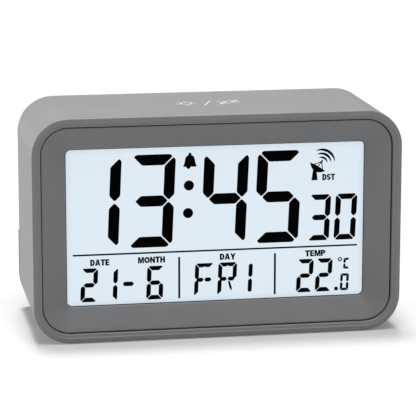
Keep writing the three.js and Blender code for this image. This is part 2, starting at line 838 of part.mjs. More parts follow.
// The block spans the whole width behind the sleeve, with a neck that goes into the sleeve.
function batteryBlock() {
  const whole = loft(roundedEdges({
    width: bodyWidth, height: bodyHeight, radius: cornerRadius, front: blockFront, back: overallDepth,
    rearRound: blockEdge,
  }));
  const clip = loft(roundedEdges({
    width: 2 * bodyWidth, height: 2 * bodyHeight, radius: 2 * blockEdge, front: blockFront - past,
    back: overallDepth, rearRound: blockEdge, z: blockTop - bodyHeight,
  }));
  const neck = slab(panelOutline(), panelFront, blockFront + past);
  const below = box(-bodyWidth, bodyWidth, 0, overallDepth, 0, blockTop);
  return [whole.intersect(clip), neck.intersect(below)];
}

// The block is a shell on both sides of the battery tub.
function blockHollows() {
  const inside = slab(panelOutline(skirtWall), panelFront - past, overallDepth - blockWall);
  const near = bayLength / 2 + tubWall;
  return [-1, 1].map((side) => inside.intersect(box(
    Math.min(side * near, side * bodyWidth), Math.max(side * near, side * bodyWidth),
    0, overallDepth, 0, blockTop - blockWall)));
}

function batteryTub() {
  const half = bayLength / 2 + tubWall;
  return box(-half, half, bayFloor - tubWall, doorFront, bayBottom - tubWall, bayTop + tubWall);
}

function contactTabPlaces() {
  return [upperCellZ, lowerCellZ];
}

// The battery bay, the rebate of its door, the door's tab pockets and the finger scoop.
function bayCuts() {
  const half = bayLength / 2;
  const doorMiddle = (doorTop + doorBottom) / 2;
  const bay = box(-half, half, bayFloor, overallDepth, bayBottom, bayTop);
  const rebate = slab(roundedOutline(
    doorWidth + 2 * fit, doorTop - doorBottom + 2 * fit, doorRadius + fit, 0, doorMiddle, smallCornerSteps),
  ledgeBack, overallDepth + past);
  const tabRebate = box(-fingerTabWidth / 2 - fit, fingerTabWidth / 2 + fit, ledgeBack, overallDepth + past,
    doorTop - past, doorTop + fingerTabRise + fit);
  const scoop = post(0, blockTop + scoopRadius - scoopDip, scoopRadius,
    overallDepth - scoopDepth, overallDepth + past);
  const pockets = [-1, 1].map((side) => box(
    side * tabSpread - tabWidth / 2 - running, side * tabSpread + tabWidth / 2 + running,
    doorFront - tabThickness - tabSwing, doorFront + fit, doorBottom - tabReach - running, bayBottom + past));
  const contactSlots = contactTabPlaces().map((z) => box(
    -half, -half + seat + contactThickness + running, bayFloor - tubWall - past, bayFloor + past,
    z - contactTabWidth / 2 - running, z + contactTabWidth / 2 + running));
  return [bay, rebate, tabRebate, scoop, ...pockets, ...contactSlots];
}

function screwWells() {
  const inBlock = overallDepth - blockWall / 2;
  const inPanel = panelBack - panelThickness / 2;
  return caseScrewPlaces().map(([x, z]) => post(
    x, z, wellRadius + bossWall, skirtFront, z < middleZ ? inBlock : inPanel));
}

function screwWellCuts() {
  return caseScrewPlaces().flatMap(([x, z]) => [
    post(x, z, wellRadius, skirtFront + wellFloor, overallDepth + past),
    post(x, z, screwHole, skirtFront - past, overallDepth),
  ]);
}

function boardPostPlaces() {
  const between = buttonPitch * (buttonCount / 2 - 1);
  return [[-between, buttonZ], [between, buttonZ], [switchSide, (buttonZ + switchZ) / 2]];
}

// Posts carry the button board, each with a thin stake through it.
function boardPosts() {
  return boardPostPlaces().flatMap(([x, z]) => [
    post(x, z, boardPostRadius, buttonBoardBack + seat, panelBack - panelThickness / 2, smallSides),
    post(x, z, stakeRadius, buttonBoardFront - stakeHeight, panelFront, smallSides),
  ]);
}

// A stepped ring on the panel holds the sounder's plate off the sound slots.
function buzzerSeat() {
  const inner = buzzerRadius + fit;
  const outer = inner + bossWall;
  const step = panelFront - buzzerStandoff;
  const front = step - buzzerThickness - ceramicThickness - past;
  const back = panelFront + panelThickness / 2;
  return turned([
    [inner - bossWall, back], [inner - bossWall, step], [inner, step], [inner, front],
    [outer, front], [outer, back], [inner - bossWall, back],
  ], buzzerSide, switchZ, wideSides);
}

function panelHoles() {
  const through = (outline) => slab(outline, panelFront - past, panelBack + past);
  const buttonHole = (x) => through(roundedOutline(
    buttonWidth + 2 * running, buttonHeight + 2 * running, buttonHeight / 2 + running,
    x, buttonZ, smallCornerSteps));
  const knobSlot = through(roundedOutline(
    knobWidth + switchTravel + 2 * running, knobHeight + 2 * running, 2 * running,
    switchSide + switchTravel / 2, switchZ, smallCornerSteps));
  const slots = [];
  for (let row = 0; row < slotCount; row += 1) {
    const rise = (row - (slotCount - 1) / 2) * slotPitch;
    slots.push(through(roundedOutline(
      slotLength, slotWidth, slotWidth / 2, buzzerSide, switchZ + rise, smallCornerSteps)));
  }
  return [...buttonPlaces().map(buttonHole), knobSlot, ...slots];
}

// The door turns about its outer lower edge. Two tabs reach under the block and a short catch sits at the top.
function batteryDoor() {
  const plate = slab(roundedOutline(
    doorWidth, doorTop - doorBottom, doorRadius, 0, (doorTop + doorBottom) / 2, smallCornerSteps),
  doorFront, overallDepth);
  const fingerTab = box(-fingerTabWidth / 2, fingerTabWidth / 2, doorFront, overallDepth,
    doorTop - past, doorTop + fingerTabRise);
  const catchTop = bayTop - latchSwing;
  const latch = box(-latchWidth / 2, latchWidth / 2, doorFront - latchDepth, doorFront + past / 2,
    catchTop - latchThickness, catchTop);
  const tabs = [-1, 1].flatMap((side) => {
    const left = side * tabSpread - tabWidth / 2;
    const right = side * tabSpread + tabWidth / 2;
    const front = doorFront - tabThickness;
    return [
      box(left, right, front, doorFront, doorBottom - tabReach, doorBottom + tabReach),
      box(left, right, front, doorFront + doorThickness / 2, doorBottom + fit, doorBottom + tabReach),
    ];
  });
  return join(plate, fingerTab, latch, ...tabs);
}

// Cells and contacts

// A cell lies along x, with its raised end towards the given side.
function cell(side, z) {
  const half = cellLength / 2;
  const radius = cellDiameter / 2;
  const shoulder = half - nubLength;
  const tip = side * (bayLength / 2 - 2 * seat - contactThickness);
  const profile = [
    [0, -half], [radius - cellBead, -half], [radius, -half + cellBead], [radius, shoulder - cellBead],
    [radius - cellBead, shoulder], [nubRadius, shoulder], [nubRadius, half], [0, half],
  ];
  return turnedAcross(profile.map(([r, along]) => [r, side * along]), tip - side * half, cellY, z, wideSides);
}

class TaperedHelix extends THREE.Curve {
  constructor(from, to, z) {
    super();
    this.from = from;
    this.to = to;
    this.z = z;
  }

  getPoint(t, target = new THREE.Vector3()) {
    const angle = t * springTurns * Math.PI * 2;
    const radius = springWide + (springNarrow - springWide) * t;
    return target.set(
      this.from + (this.to - this.from) * t,
      cellY + radius * Math.cos(angle),
      this.z + radius * Math.sin(angle),
    );
  }
}

// The least gap between the turns of a spring, measured on points along its wire.
function leastGap(curve) {
  const perTurn = 24;
  const points = curve.getPoints(Math.round(springTurns * perTurn));
  let least = Infinity;
  points.forEach((point, i) => {
    for (let j = i + perTurn / 2; j < points.length; j += 1) {
      least = Math.min(least, point.distanceTo(points[j]));
    }
  });
  return least - 2 * springWire;
}

// A conical spring between a contact and the flat end of a cell.
function batterySpring(side, z) {
  const contactFace = side * (bayLength / 2 - seat - contactThickness);
  const from = contactFace - side * (springWire + seat);
  const to = contactFace - side * (springLength - springWire);
  const curve = new TaperedHelix(from, to, z);
  console.log(`battery spring at z ${z.toFixed(2)}: least gap ${leastGap(curve).toFixed(2)} mm`);
  return wire(curve, springWire, Math.round(springSteps * springTurns), springSides);
}

function contactPlate(side, bottom, top) {
  const outer = side * (bayLength / 2 - seat);
  const inner = outer - side * contactThickness;
  return box(Math.min(inner, outer), Math.max(inner, outer),
    cellY - contactWidth / 2, cellY + contactWidth / 2, bottom, top);
}

// A contact on the left with its solder tab through the floor of the bay.
function leadContact(z) {
  const outer = -bayLength / 2 + seat;
  const tab = box(outer, outer + contactThickness, bayFloor - tubWall - contactTabReach, cellY,
    z - contactTabWidth / 2, z + contactTabWidth / 2);
  return contactPlate(-1, z - contactWidth / 2, z + contactWidth / 2).add(tab);
}

function linkContact() {
  return contactPlate(1, lowerCellZ - contactWidth / 2, upperCellZ + contactWidth / 2);
}

// Buttons, switch and sounder

function buttonPlaces() {
  const places = [];
  for (let number = 0; number < buttonCount; number += 1) {
    places.push((number - (buttonCount - 1) / 2) * buttonPitch);
  }
  return places;
}

function rearButton(x) {
  const cap = loft(roundedEdges({
    width: buttonWidth, height: buttonHeight, radius: buttonHeight / 2, front: buttonFlangeFront,
    back: panelBack + buttonProud, rearRound: buttonEdge, x, z: buttonZ, steps: smallCornerSteps,
  }));
  const flange = slab(roundedOutline(
    buttonWidth + 2 * buttonFlange, buttonHeight + 2 * buttonFlange, buttonHeight / 2,
    x, buttonZ, smallCornerSteps),
  buttonFlangeFront, buttonFlangeBack);
  return cap.add(flange);
}

function tactSwitch(x) {
  const half = tactWidth / 2;
  const body = box(x - half, x + half, buttonBoardBack + stackGap, tactBack, buttonZ - half, buttonZ + half);
  return body.add(post(x, buttonZ, plungerRadius, tactBack - past, plungerBack, smallSides));
}

// The board behind the buttons, with a leg down to the slide switch.
function buttonBoard() {
  const halfWidth = buttonPitch * (buttonCount - 1) / 2 + buttonWidth / 2 + buttonBoardMargin;
  const halfHeight = buttonHeight / 2 + buttonBoardMargin;
  const strip = box(-halfWidth, halfWidth, buttonBoardFront, buttonBoardBack,
    buttonZ - halfHeight, buttonZ + halfHeight);
  const legHalf = knobWidth + switchTravel;
  const leg = box(switchSide - legHalf, switchSide + legHalf, buttonBoardFront, buttonBoardBack,
    switchZ - knobHeight - buttonBoardMargin, buttonZ);
  const holes = boardPostPlaces().map(([x, z]) => post(
    x, z, stakeRadius + running, buttonBoardFront - past, buttonBoardBack + past, smallSides));
  return cut(strip.add(leg), ...holes);
}

const switchFront = buttonBoardBack + stackGap;
const switchBack = switchFront + switchHeight;

// The knob slides in a channel of the switch body, which is open to the rear.
function alarmSwitch() {
  const x = switchSide + switchTravel / 2;
  const halfChannel = (knobWidth + switchTravel) / 2 + running;
  const halfHeight = knobStem / 2 + running;
  const body = box(x - halfChannel - switchWall, x + halfChannel + switchWall, switchFront, switchBack,
    switchZ - halfHeight - switchWall, switchZ + halfHeight + switchWall);
  const channel = box(x - halfChannel, x + halfChannel, switchFront + switchWall, switchBack + past,
    switchZ - halfHeight, switchZ + halfHeight);
  return cut(body, channel);
}

function alarmSwitchKnob() {
  const stem = box(switchSide - knobWidth / 2, switchSide + knobWidth / 2, switchFront + switchWall + running,
    switchBack + 2 * running, switchZ - knobStem / 2, switchZ + knobStem / 2);
  const grip = box(switchSide - knobWidth / 2, switchSide + knobWidth / 2, switchBack + running,
    panelBack + knobProud, switchZ - knobHeight / 2, switchZ + knobHeight / 2);
  const grooves = [-1, 0, 1].map((place) => switchSide + place * knobGroovePitch).map((x) => box(
    x - knobGroove / 2, x + knobGroove / 2,
    panelBack + knobProud - knobGroove, panelBack + knobProud + past,
    switchZ - knobHeight, switchZ + knobHeight));
  return cut(stem.add(grip), ...grooves);
}

function buzzerPlate() {
  const back = panelFront - buzzerStandoff - stackGap;
  return post(buzzerSide, switchZ, buzzerRadius, back - buzzerThickness, back, wideSides);
}

function buzzerCeramic() {
  const back = panelFront - buzzerStandoff - 2 * stackGap - buzzerThickness;
  return post(buzzerSide, switchZ, ceramicRadius, back - ceramicThickness, back, wideSides);
}

function caseScrew([x, z]) {
  const tip = screwHeadFront - screwLength;
  const headBack = screwHeadFront + screwHeadHeight;
  return turned([
    [0, tip], [screwShankRadius / 2, tip], [screwShankRadius, tip + screwShankRadius],
    [screwShankRadius, screwHeadFront],
    [screwHeadRadius, screwHeadFront], [screwHeadRadius, headBack - screwHeadHeight / 2],
    [screwHeadRadius - screwHeadHeight / 2, headBack], [0, headBack],
  ], x, z, smallSides);
}

// The clock

const clock = new THREE.Group();
clock.position.y = -overallDepth / 2;

clock.add(piece('front_housing', frontHousing(), greyPlastic));
clock.add(piece('fascia_frame', fasciaFrame(), darkerGrey));
footPlaces().forEach((place, i) => clock.add(piece(`rubber_foot_${i + 1}`, foot(place), blackRubber)));

clock.add(piece('front_polariser', displaySheet(lcdBottom, polariserFront, polariserThickness), displayFilm));
clock.add(piece('lcd_front_glass', displaySheet(lcdBottom, frontGlass, glassThickness), clearGlass));
clock.add(piece('lcd_rear_glass', displaySheet(stackBottom, rearGlass, glassThickness), clearGlass));
clock.add(piece('diffuser_sheet', displaySheet(stackBottom, diffuserFront, diffuserThickness), whitePlastic));
clock.add(piece('light_guide', lightGuide(), clearGlass));
clock.add(piece('reflector_sheet',
  displaySheet(stackBottom, reflectorFront, reflectorThickness), whitePlastic));
clock.add(piece('backlight_board', backlightBoard(), boardGreen));
for (let number = 0; number < ledCount; number += 1) {
  clock.add(piece(`backlight_led_${number + 1}`, backlightLed(number), whitePlastic));
}
clock.add(piece('contact_strip', contactStrip(), blackRubber));
clock.add(piece('display_carrier', displayCarrier(), whitePlastic));
clock.add(piece('board_screw_left', boardScrew(-1), steel));
clock.add(piece('board_screw_right', boardScrew(1), steel));

clock.add(piece('main_board', mainBoard(), boardGreen));
clock.add(piece('clock_chip', clockChip(), darkChip));
clock.add(piece('quartz_crystal', quartzCrystal(), steel));
clock.add(piece('receiver_board', receiverBoard(), boardGreen));
clock.add(piece('thermistor', thermistor(), darkChip));
clock.add(piece('ferrite_rod', ferriteRod(), ferrite));
clock.add(piece('antenna_coil', antennaCoil(), copper));
clock.add(piece('touch_electrode', touchElectrode(), copper));
clock.add(piece('touch_lead', touchLead(), blackLead));

clock.add(piece('rear_housing', rearHousing(), greyPlastic));
clock.add(piece('battery_door', batteryDoor(), greyPlastic));
caseScrewPlaces().forEach((place, i) => clock.add(piece(`case_screw_${i + 1}`, caseScrew(place), steel)));
clock.add(piece('cell_upper', cell(-1, upperCellZ), cellSleeve));
clock.add(piece('cell_lower', cell(1, lowerCellZ), cellSleeve));
clock.add(piece('battery_spring_upper', batterySpring(1, upperCellZ), steel));
clock.add(piece('battery_spring_lower', batterySpring(-1, lowerCellZ), steel));
clock.add(piece('positive_contact', leadContact(upperCellZ), steel));
clock.add(piece('negative_contact', leadContact(lowerCellZ), steel));
clock.add(piece('link_contact', linkContact(), steel));
clock.add(piece('positive_lead', batteryLead(upperCellZ), redLead));
clock.add(piece('negative_lead', batteryLead(lowerCellZ), blackLead));

buttonPlaces().forEach((x, i) => clock.add(piece(`rear_button_${i + 1}`, rearButton(x), darkerGrey)));
buttonPlaces().forEach((x, i) => clock.add(piece(`tact_switch_${i + 1}`, tactSwitch(x), darkChip)));
clock.add(piece('button_board', buttonBoard(), boardGreen));
clock.add(piece('ribbon_cable', ribbonCable(), greyRibbon));
clock.add(piece('alarm_switch', alarmSwitch(), steel));
clock.add(piece('alarm_switch_knob', alarmSwitchKnob(), blackRubber));
clock.add(piece('buzzer_plate', buzzerPlate(), brass));
clock.add(piece('buzzer_ceramic', buzzerCeramic(), ceramicWhite));

export default clock;
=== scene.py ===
"""Radio-controlled alarm clock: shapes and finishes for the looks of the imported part."""

from collections import namedtuple
import json
import math

import bmesh
import bpy
from bpy.props import FloatProperty, FloatVectorProperty, IntProperty, PointerProperty, StringProperty
from mathutils import Matrix, Vector
from mathutils.geometry import interpolate_bezier

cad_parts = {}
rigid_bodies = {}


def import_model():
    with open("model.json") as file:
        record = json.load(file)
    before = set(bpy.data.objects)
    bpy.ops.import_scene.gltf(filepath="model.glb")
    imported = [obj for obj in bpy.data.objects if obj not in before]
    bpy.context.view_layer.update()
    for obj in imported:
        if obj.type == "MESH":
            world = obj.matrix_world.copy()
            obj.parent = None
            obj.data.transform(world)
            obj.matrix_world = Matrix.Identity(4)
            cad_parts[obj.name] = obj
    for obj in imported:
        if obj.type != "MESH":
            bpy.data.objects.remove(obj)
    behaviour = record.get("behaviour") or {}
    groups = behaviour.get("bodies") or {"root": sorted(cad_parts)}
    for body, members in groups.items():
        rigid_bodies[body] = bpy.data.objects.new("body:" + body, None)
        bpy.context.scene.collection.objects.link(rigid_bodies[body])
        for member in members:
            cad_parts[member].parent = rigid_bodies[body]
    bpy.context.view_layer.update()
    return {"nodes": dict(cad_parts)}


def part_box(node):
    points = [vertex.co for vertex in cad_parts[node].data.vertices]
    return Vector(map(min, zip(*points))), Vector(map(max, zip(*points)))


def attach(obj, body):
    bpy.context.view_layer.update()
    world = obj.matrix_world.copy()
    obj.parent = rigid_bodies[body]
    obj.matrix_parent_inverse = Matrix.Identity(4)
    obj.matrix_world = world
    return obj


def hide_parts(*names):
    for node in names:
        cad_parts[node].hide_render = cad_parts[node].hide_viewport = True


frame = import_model()

bl_info = {
    "name": "Radio-controlled alarm clock",
    "version": (1, 0, 0),
    "blender": (4, 5, 0),
    "location": "View3D > Sidebar > Clock",
    "description": "Builds a desk alarm clock with a lit display round its packed parts",
    "category": "Add Mesh",
}

MM = 0.001
FULL_TURN = 2 * math.pi
LOW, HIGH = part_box("front_housing")
FILM_LOW, FILM_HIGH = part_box("front_polariser")
FASCIA_LOW, FASCIA_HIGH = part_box("fascia_frame")
MIDDLE_Z = (LOW.z + HIGH.z) / 2


def length(name, millimetres, description):
    return FloatProperty(
        name=name, description=description, default=millimetres * MM, unit="LENGTH", precision=5)


def angle(name, degrees, description):
    return FloatProperty(
        name=name, description=description, default=math.radians(degrees), subtype="ANGLE")


def strength(name, default, description):
    return FloatProperty(name=name, description=description, default=default, min=0)


def colour(name, default, description):
    return FloatVectorProperty(
        name=name, description=description, default=default, subtype="COLOR", min=0, max=1)


def text(name, default, description):
    return StringProperty(name=name, description=description, default=default)


class CaseSettings(bpy.types.PropertyGroup):
    """Sizes and colours of the case"""

    corner: length("Corner radius", 13.3, "Radius of the case's four long corners")
    wall: length("Wall", 2.2, "Thickness of the sleeve")
    edge: length("Front edge", 0.4, "Rounding of the front edge")
    rear_edge: length("Rear edge", 0.6, "Rounding of the rear edge")
    rim: length("Rim", 3.24, "Width of the rim round the frame")
    rim_edge: length("Rim edge", 1.5, "Width of the hollow along the rim's inner edge")
    groove: length("Groove", 0.31, "Width of the groove between rim and frame")
    play: length("Play", 0.08, "How far the frame sits left of the middle of its groove")
    land: length("Land", 0.5, "Flat border of the frame before its slope")
    dish: length("Dish", 4.0, "Depth of the frame's slope")
    sill: length("Sill", 1.3, "Depth of the window's edge behind the slope")
    border_side: length("Side border", 9.05, "Width of the frame beside the display")
    border_rise: length("Upper border", 8.55, "Width of the frame above and below the display")
    window_corner: length("Window corner", 2.0, "Corner radius of the display's window")
    frame_wall: length("Frame wall", 1.6, "Thickness of the frame behind its slope")
    flange: length("Flange", 2.0, "Thickness of the sleeve's inner flange")
    flange_play: length("Flange play", 1.2, "Room round the display in the flange")
    # The dark seal lines the window's inner wall: painted shade on that wall.
    seal: length("Seal", 0.14, "Thickness of the dark seal inside the window")
    seal_depth: length("Seal depth", 0.9, "How far the seal reaches forward from the film")
    plastic: colour("Case plastic", (0.180, 0.182, 0.185), "Colour of the moulded case")
    # The frame is a darker copy of the case plastic: painted shade that offsets the light the lit film throws
    # on it.
    shaded_frame_plastic: colour("Frame plastic", (0.166, 0.168, 0.171), "Colour of the frame round the display")
    print_colour: colour("Printed signs", (0.54, 0.54, 0.54), "Colour of the printed signs")


class DisplaySettings(bpy.types.PropertyGroup):
    """What the display shows, and its colours"""

    hours: text("Hours", "13", "Digits left of the colon")
    minutes: text("Minutes", "45", "Digits right of the colon")
    seconds: text("Seconds", "30", "Small digits beside the minutes")
    date: text("Date", "21", "Day of the month")
    month: text("Month", "6", "Number of the month")
    day: text("Day", "FRI", "Day of the week in three letters")
    degrees: text("Degrees", "22", "Whole degrees of the temperature")
    tenths: text("Tenths", "0", "Tenths of a degree")
    slant: angle("Slant", 2.6, "Lean of the digits")
    ink: length("Ink thickness", 0.03, "Thickness of the dark segments")
    lit: colour("Lit film", (0.703, 0.797, 0.871), "Colour of the lit display")
    # The edge colour is partly the backlight falling off and partly painted shade from the frame.
    dim_and_shaded_edge: colour("Lit film edge", (0.60, 0.69, 0.76), "Colour of the lit display at its edges")
    dark: colour("Segments", (0.0012, 0.0012, 0.0014), "Colour of the dark segments")


class RearSettings(bpy.types.PropertyGroup):
    """Sizes and colours of the rear and of what is inside"""

    sharp: angle("Sharp angle", 40, "Edges that turn more than this are rounded off")
    edge: length("Moulded edge", 0.25, "Rounding of the moulded edges at the back")
    fine_edge: length("Fine edge", 0.15, "Rounding of the edges of small pieces")
    button_edge: length("Button edge", 0.6, "Rounding of the button caps")
    button_crown: length("Button crown", 0.25, "How far the caps bulge")
    plastic: colour("Rear plastic", (0.098, 0.099, 0.101), "Colour of the rear cover and its door")
    button_plastic: colour("Button plastic", (0.19, 0.192, 0.195), "Colour of the rear buttons")
    sleeve_colour: colour("Cell sleeve", (0.03, 0.10, 0.19), "Colour of the cells' printed film")
    band_colour: colour("Cell band", (0.62, 0.45, 0.16), "Colour of the band at the cells' raised end")


class StageSettings(bpy.types.PropertyGroup):
    """Camera, floor and lights"""

    eye: FloatVectorProperty(
        name="Camera", description="Place of the camera", default=(-0.14137, -0.81151, 0.21520),
        subtype="TRANSLATION", unit="LENGTH")
    turn: angle("Turn", 9.949, "Turn of the camera to the right")
    pitch: angle("Pitch", 11.839, "How far the camera looks down")
    lens: FloatProperty(
        name="Lens", description="Focal length for a sensor of 36 mm", default=195.2, unit="CAMERA")
    floor_size: length("Floor", 40000, "Width of the floor")
    floor_height: length("Floor height", 0.3, "Height of the floor, in which the feet sink a little")
    floor_colour: colour("Floor colour", (0.405, 0.405, 0.405), "Colour of the floor")
    floor_glow: strength("Floor glow", 0.17, "Light the floor gives off, which keeps its shadows light")
    overhead: strength("Overhead light", 2.2, "Strength of the light from above")
    rear: strength("Rear light", 3.52, "Strength of the light from above and behind")
    side: strength("Side light", 2.86, "Strength of the low light from the left")
    sky: strength("Sky", 0.28, "Strength of the even light all round")


class ClockSettings(bpy.types.PropertyGroup):
    """All settings of the clock"""

    case: PointerProperty(type=CaseSettings)
    display: PointerProperty(type=DisplaySettings)
    rear: PointerProperty(type=RearSettings)
    stage: PointerProperty(type=StageSettings)
    corner_steps: IntProperty(
        name="Corner steps", description="Faces round each corner of the case", default=20, min=4)


# Finishes

def math_node(operation, swapped=False):
    """A method that joins a value and another one in a math node."""
    def method(shade, other=0.0):
        first, second = (other, shade) if swapped else (shade, other)
        return shade.finish.node("ShaderNodeMath", {"operation": operation}, {0: first, 1: second})
    return method


class Shade:
    """A shader value that Python's arithmetic works on."""

    def __init__(self, finish, socket):
        self.finish = finish
        self.socket = socket

    __add__ = math_node("ADD")
    __radd__ = math_node("ADD", swapped=True)
    __sub__ = math_node("SUBTRACT")
    __rsub__ = math_node("SUBTRACT", swapped=True)
    __mul__ = math_node("MULTIPLY")
    __truediv__ = math_node("DIVIDE")
    __pow__ = math_node("POWER")
    __abs__ = math_node("ABSOLUTE")
    less = math_node("LESS_THAN")
    greater = math_node("GREATER_THAN")
    highest = math_node("MAXIMUM")
    lowest = math_node("MINIMUM")


class Finish:
    """A node material on object coordinates."""

    def __init__(self, name):
        self.material = bpy.data.materials.new(name)
        self.material.use_nodes = True
        self.tree = self.material.node_tree
        self.shader = self.tree.nodes["Principled BSDF"]
        self.place = self.node("ShaderNodeTexCoord", output="Object")

    def node(self, kind, settings=None, sockets=None, output=0):
        made = self.tree.nodes.new(kind)
        for name, value in (settings or {}).items():
            setattr(made, name, value)
        for name, value in (sockets or {}).items():
            self.feed(made.inputs[name], value)
        return Shade(self, made.outputs[output])

    def feed(self, socket, value):
        if isinstance(value, Shade):
            self.tree.links.new(value.socket, socket)
        else:
            socket.default_value = value

    def surface(self, **sockets):
        """Feeds the shader: base_color=... goes to Base Color."""
        for name, value in sockets.items():
            self.feed(self.shader.inputs[name.replace("_", " ").title().replace("Ior", "IOR")], value)
        return self.material

    def noise(self, size, detail=2.0, vector=None):
        return self.node("ShaderNodeTexNoise", sockets={
            "Vector": vector or self.place, "Scale": 1.0 / size, "Detail": detail})

    def axis(self, name):
        return self.node("ShaderNodeSeparateXYZ", sockets={"Vector": self.place}, output=name)

    def mix(self, factor, first, second):
        return self.node("ShaderNodeMix", {"data_type": "RGBA"}, {
            0: factor, 6: rgba(first), 7: rgba(second)}, output=2)

    def bump(self, height, depth):
        return self.node("ShaderNodeBump", sockets={"Height": height, "Distance": depth})


def rgba(tint):
    return tint if isinstance(tint, Shade) else (*tint, 1.0)


def scaled(tint, factor):
    return tuple(min(1.0, channel * factor) for channel in tint)


def moulded(finish, tint, grain, depth, roughness):
    """Matte moulded plastic: an eroded grain, a faint cloudiness and rubbed spots."""
    fine = finish.noise(grain, 3.0)
    cloud = finish.noise(26 * MM, 3.0)
    speck = finish.noise(1.3 * MM)
    tone = (fine - 0.5) * 0.5 + (cloud - 0.5) * 0.5 + (speck - 0.5) * 0.3 + 0.5
    return finish.surface(
        base_color=finish.mix(tone, scaled(tint, 0.86), scaled(tint, 1.14)),
        roughness=roughness + (cloud - 0.5) * 0.10 + (fine - 0.5) * 0.12, specular_ior_level=0.35,
        normal=finish.bump(fine + speck * 0.4, depth))


def lit_film(finish, display):
    """Anti-glare film lit from behind, darker along its edges: partly the backlight falling off towards them,
    partly painted shade from the frame's edge.
    """
    hidden, fade = 4.2 * MM, 2.4 * MM
    half = (FILM_HIGH - FILM_LOW) / 2
    from_side = half.x - hidden - abs(finish.axis("X"))
    from_rise = half.z - hidden - abs(finish.axis("Z") - MIDDLE_Z)
    # Painted shade together with backlight falloff: the colour darkens over a strip inside the window's edge,
    # where the frame's shade falls.
    even = (from_side.lowest(from_rise) / fade).lowest(1.0).highest(0.0) ** 0.6
    haze = finish.noise(0.2 * MM)
    cloud = (finish.noise(40 * MM, 1.0) - 0.5) * 0.10
    return finish.surface(
        base_color=finish.mix(haze, (0.05, 0.055, 0.06), (0.07, 0.075, 0.08)),
        roughness=0.45 + (haze - 0.5) * 0.1, emission_strength=0.945,
        emission_color=finish.mix(even + cloud, display.dim_and_shaded_edge, display.lit),
        normal=finish.bump(haze, 0.004 * MM))


def speckled(finish, tint, size, detail, tones, roughness, depth=0.0, **sockets):
    """One noise for the tone between two shades of a tint, for the roughness and for the relief."""
    speck = finish.noise(size, detail)
    smooth, spread = roughness
    if depth:
        sockets["normal"] = finish.bump(speck, depth)
    return finish.surface(
        base_color=finish.mix(speck, *(scaled(tint, tone) for tone in tones)),
        roughness=smooth + speck * spread, **sockets)


def segment_ink(finish, tint):
    return speckled(finish, tint, 0.3 * MM, 2.0, (1.0, 1.6), (0.85, 0.1), specular_ior_level=0.0)


def clear_sheet(finish, tint, roughness):
    """Glass or acrylic as it looks with a white sheet behind it."""
    return speckled(finish, tint, 9 * MM, 1.0, (0.94, 1.0), (roughness, 0.04), ior=1.5, coat_weight=0.4)


def sintered(finish, tint):
    return speckled(finish, tint, 0.5 * MM, 4.0, (0.7, 1.5), (0.6, 0.25), 0.06 * MM)


def insulation(finish, tint):
    return speckled(finish, tint, 0.9 * MM, 2.0, (0.85, 1.15), (0.42, 0.14))


def flat_cable(finish, first_wire, tint):
    """Grey insulation with a red wire along one edge."""
    fine = finish.noise(0.9 * MM)
    plain = finish.mix(fine, scaled(tint, 0.85), scaled(tint, 1.15))
    return finish.surface(
        base_color=finish.mix(finish.axis("X").greater(first_wire), plain, LEAD_RED),
        roughness=0.45 + fine * 0.14)


def rubber(finish, tint):
    fine = finish.noise(0.35 * MM, 3.0)
    dust = finish.noise(3.5 * MM, 3.0)
    return finish.surface(
        base_color=finish.mix(dust, tint, scaled(tint, 1.9)), roughness=0.78 + fine * 0.15,
        normal=finish.bump(fine, 0.03 * MM))


def plated(finish, tint, roughness, along):
    """Drawn or pressed metal with fine lines along one axis."""
    stretch = [0.02 if name == along else 1.0 for name in "XYZ"]
    drawn = finish.node("ShaderNodeMapping", sockets={"Vector": finish.place, "Scale": stretch})
    lines = finish.noise(0.12 * MM, 2.0, drawn)
    stain = finish.noise(5 * MM, 3.0)
    return finish.surface(
        base_color=finish.mix(stain, scaled(tint, 0.82), tint), metallic=1.0,
        roughness=roughness + lines * 0.14 + stain * 0.08, normal=finish.bump(lines, 0.006 * MM))


def circuit_board(finish):
    """Green solder mask over copper tracks, with tinned pads."""
    upright = finish.node("ShaderNodeMapping", sockets={
        "Vector": finish.place, "Rotation": (math.pi / 2, 0, 0)})
    tracks = finish.node("ShaderNodeTexBrick", {"offset": 0.5, "squash": 1.0}, {
        "Vector": upright, "Scale": 1.0, "Mortar Size": 0.25 * MM, "Brick Width": 7 * MM,
        "Row Height": 1.7 * MM}, output="Fac")
    pads = finish.node("ShaderNodeTexVoronoi", {"feature": "F1"}, {
        "Vector": finish.place, "Scale": 1.0 / (5.5 * MM)}, output="Distance")
    tin = pads.less(0.11)
    mask = finish.mix(tracks, (0.012, 0.11, 0.045), (0.03, 0.20, 0.085))
    return finish.surface(
        base_color=finish.mix(tin, mask, (0.62, 0.62, 0.60)), metallic=tin * 0.9,
        roughness=0.34 + finish.noise(1.2 * MM) * 0.14, normal=finish.bump(tracks + tin, 0.04 * MM))


def cell_film(finish, tint, band, raised_left):
    """A printed film round the cell, with a bright band at the raised end and bare metal ends."""
    band_start, bare_start, stripe_place, stripe_half = 11.5 * MM, 22.9 * MM, 10.6 * MM, 0.35 * MM
    across = finish.axis("X")
    reach = 0 - across if raised_left else across
    banded = reach.greater(band_start)
    bare = abs(reach).greater(bare_start)
    stripe = abs(reach - stripe_place).less(stripe_half)
    cloud = finish.noise(6 * MM)
    film = finish.mix(banded, finish.mix(cloud, tint, scaled(tint, 1.25)), band)
    film = finish.mix(stripe, film, (0.75, 0.75, 0.74))
    return finish.surface(
        base_color=finish.mix(bare, film, (0.66, 0.67, 0.69)), metallic=bare.highest(banded * 0.7),
        roughness=0.28 + cloud * 0.1, coat_weight=0.3)


def floor_paper(finish, tint, glow):
    fine = finish.noise(3 * MM)
    return finish.surface(
        base_color=finish.mix(fine, scaled(tint, 0.995), scaled(tint, 1.005)), roughness=0.9,
        specular_ior_level=0.1, emission_color=(1, 1, 1, 1), emission_strength=glow)


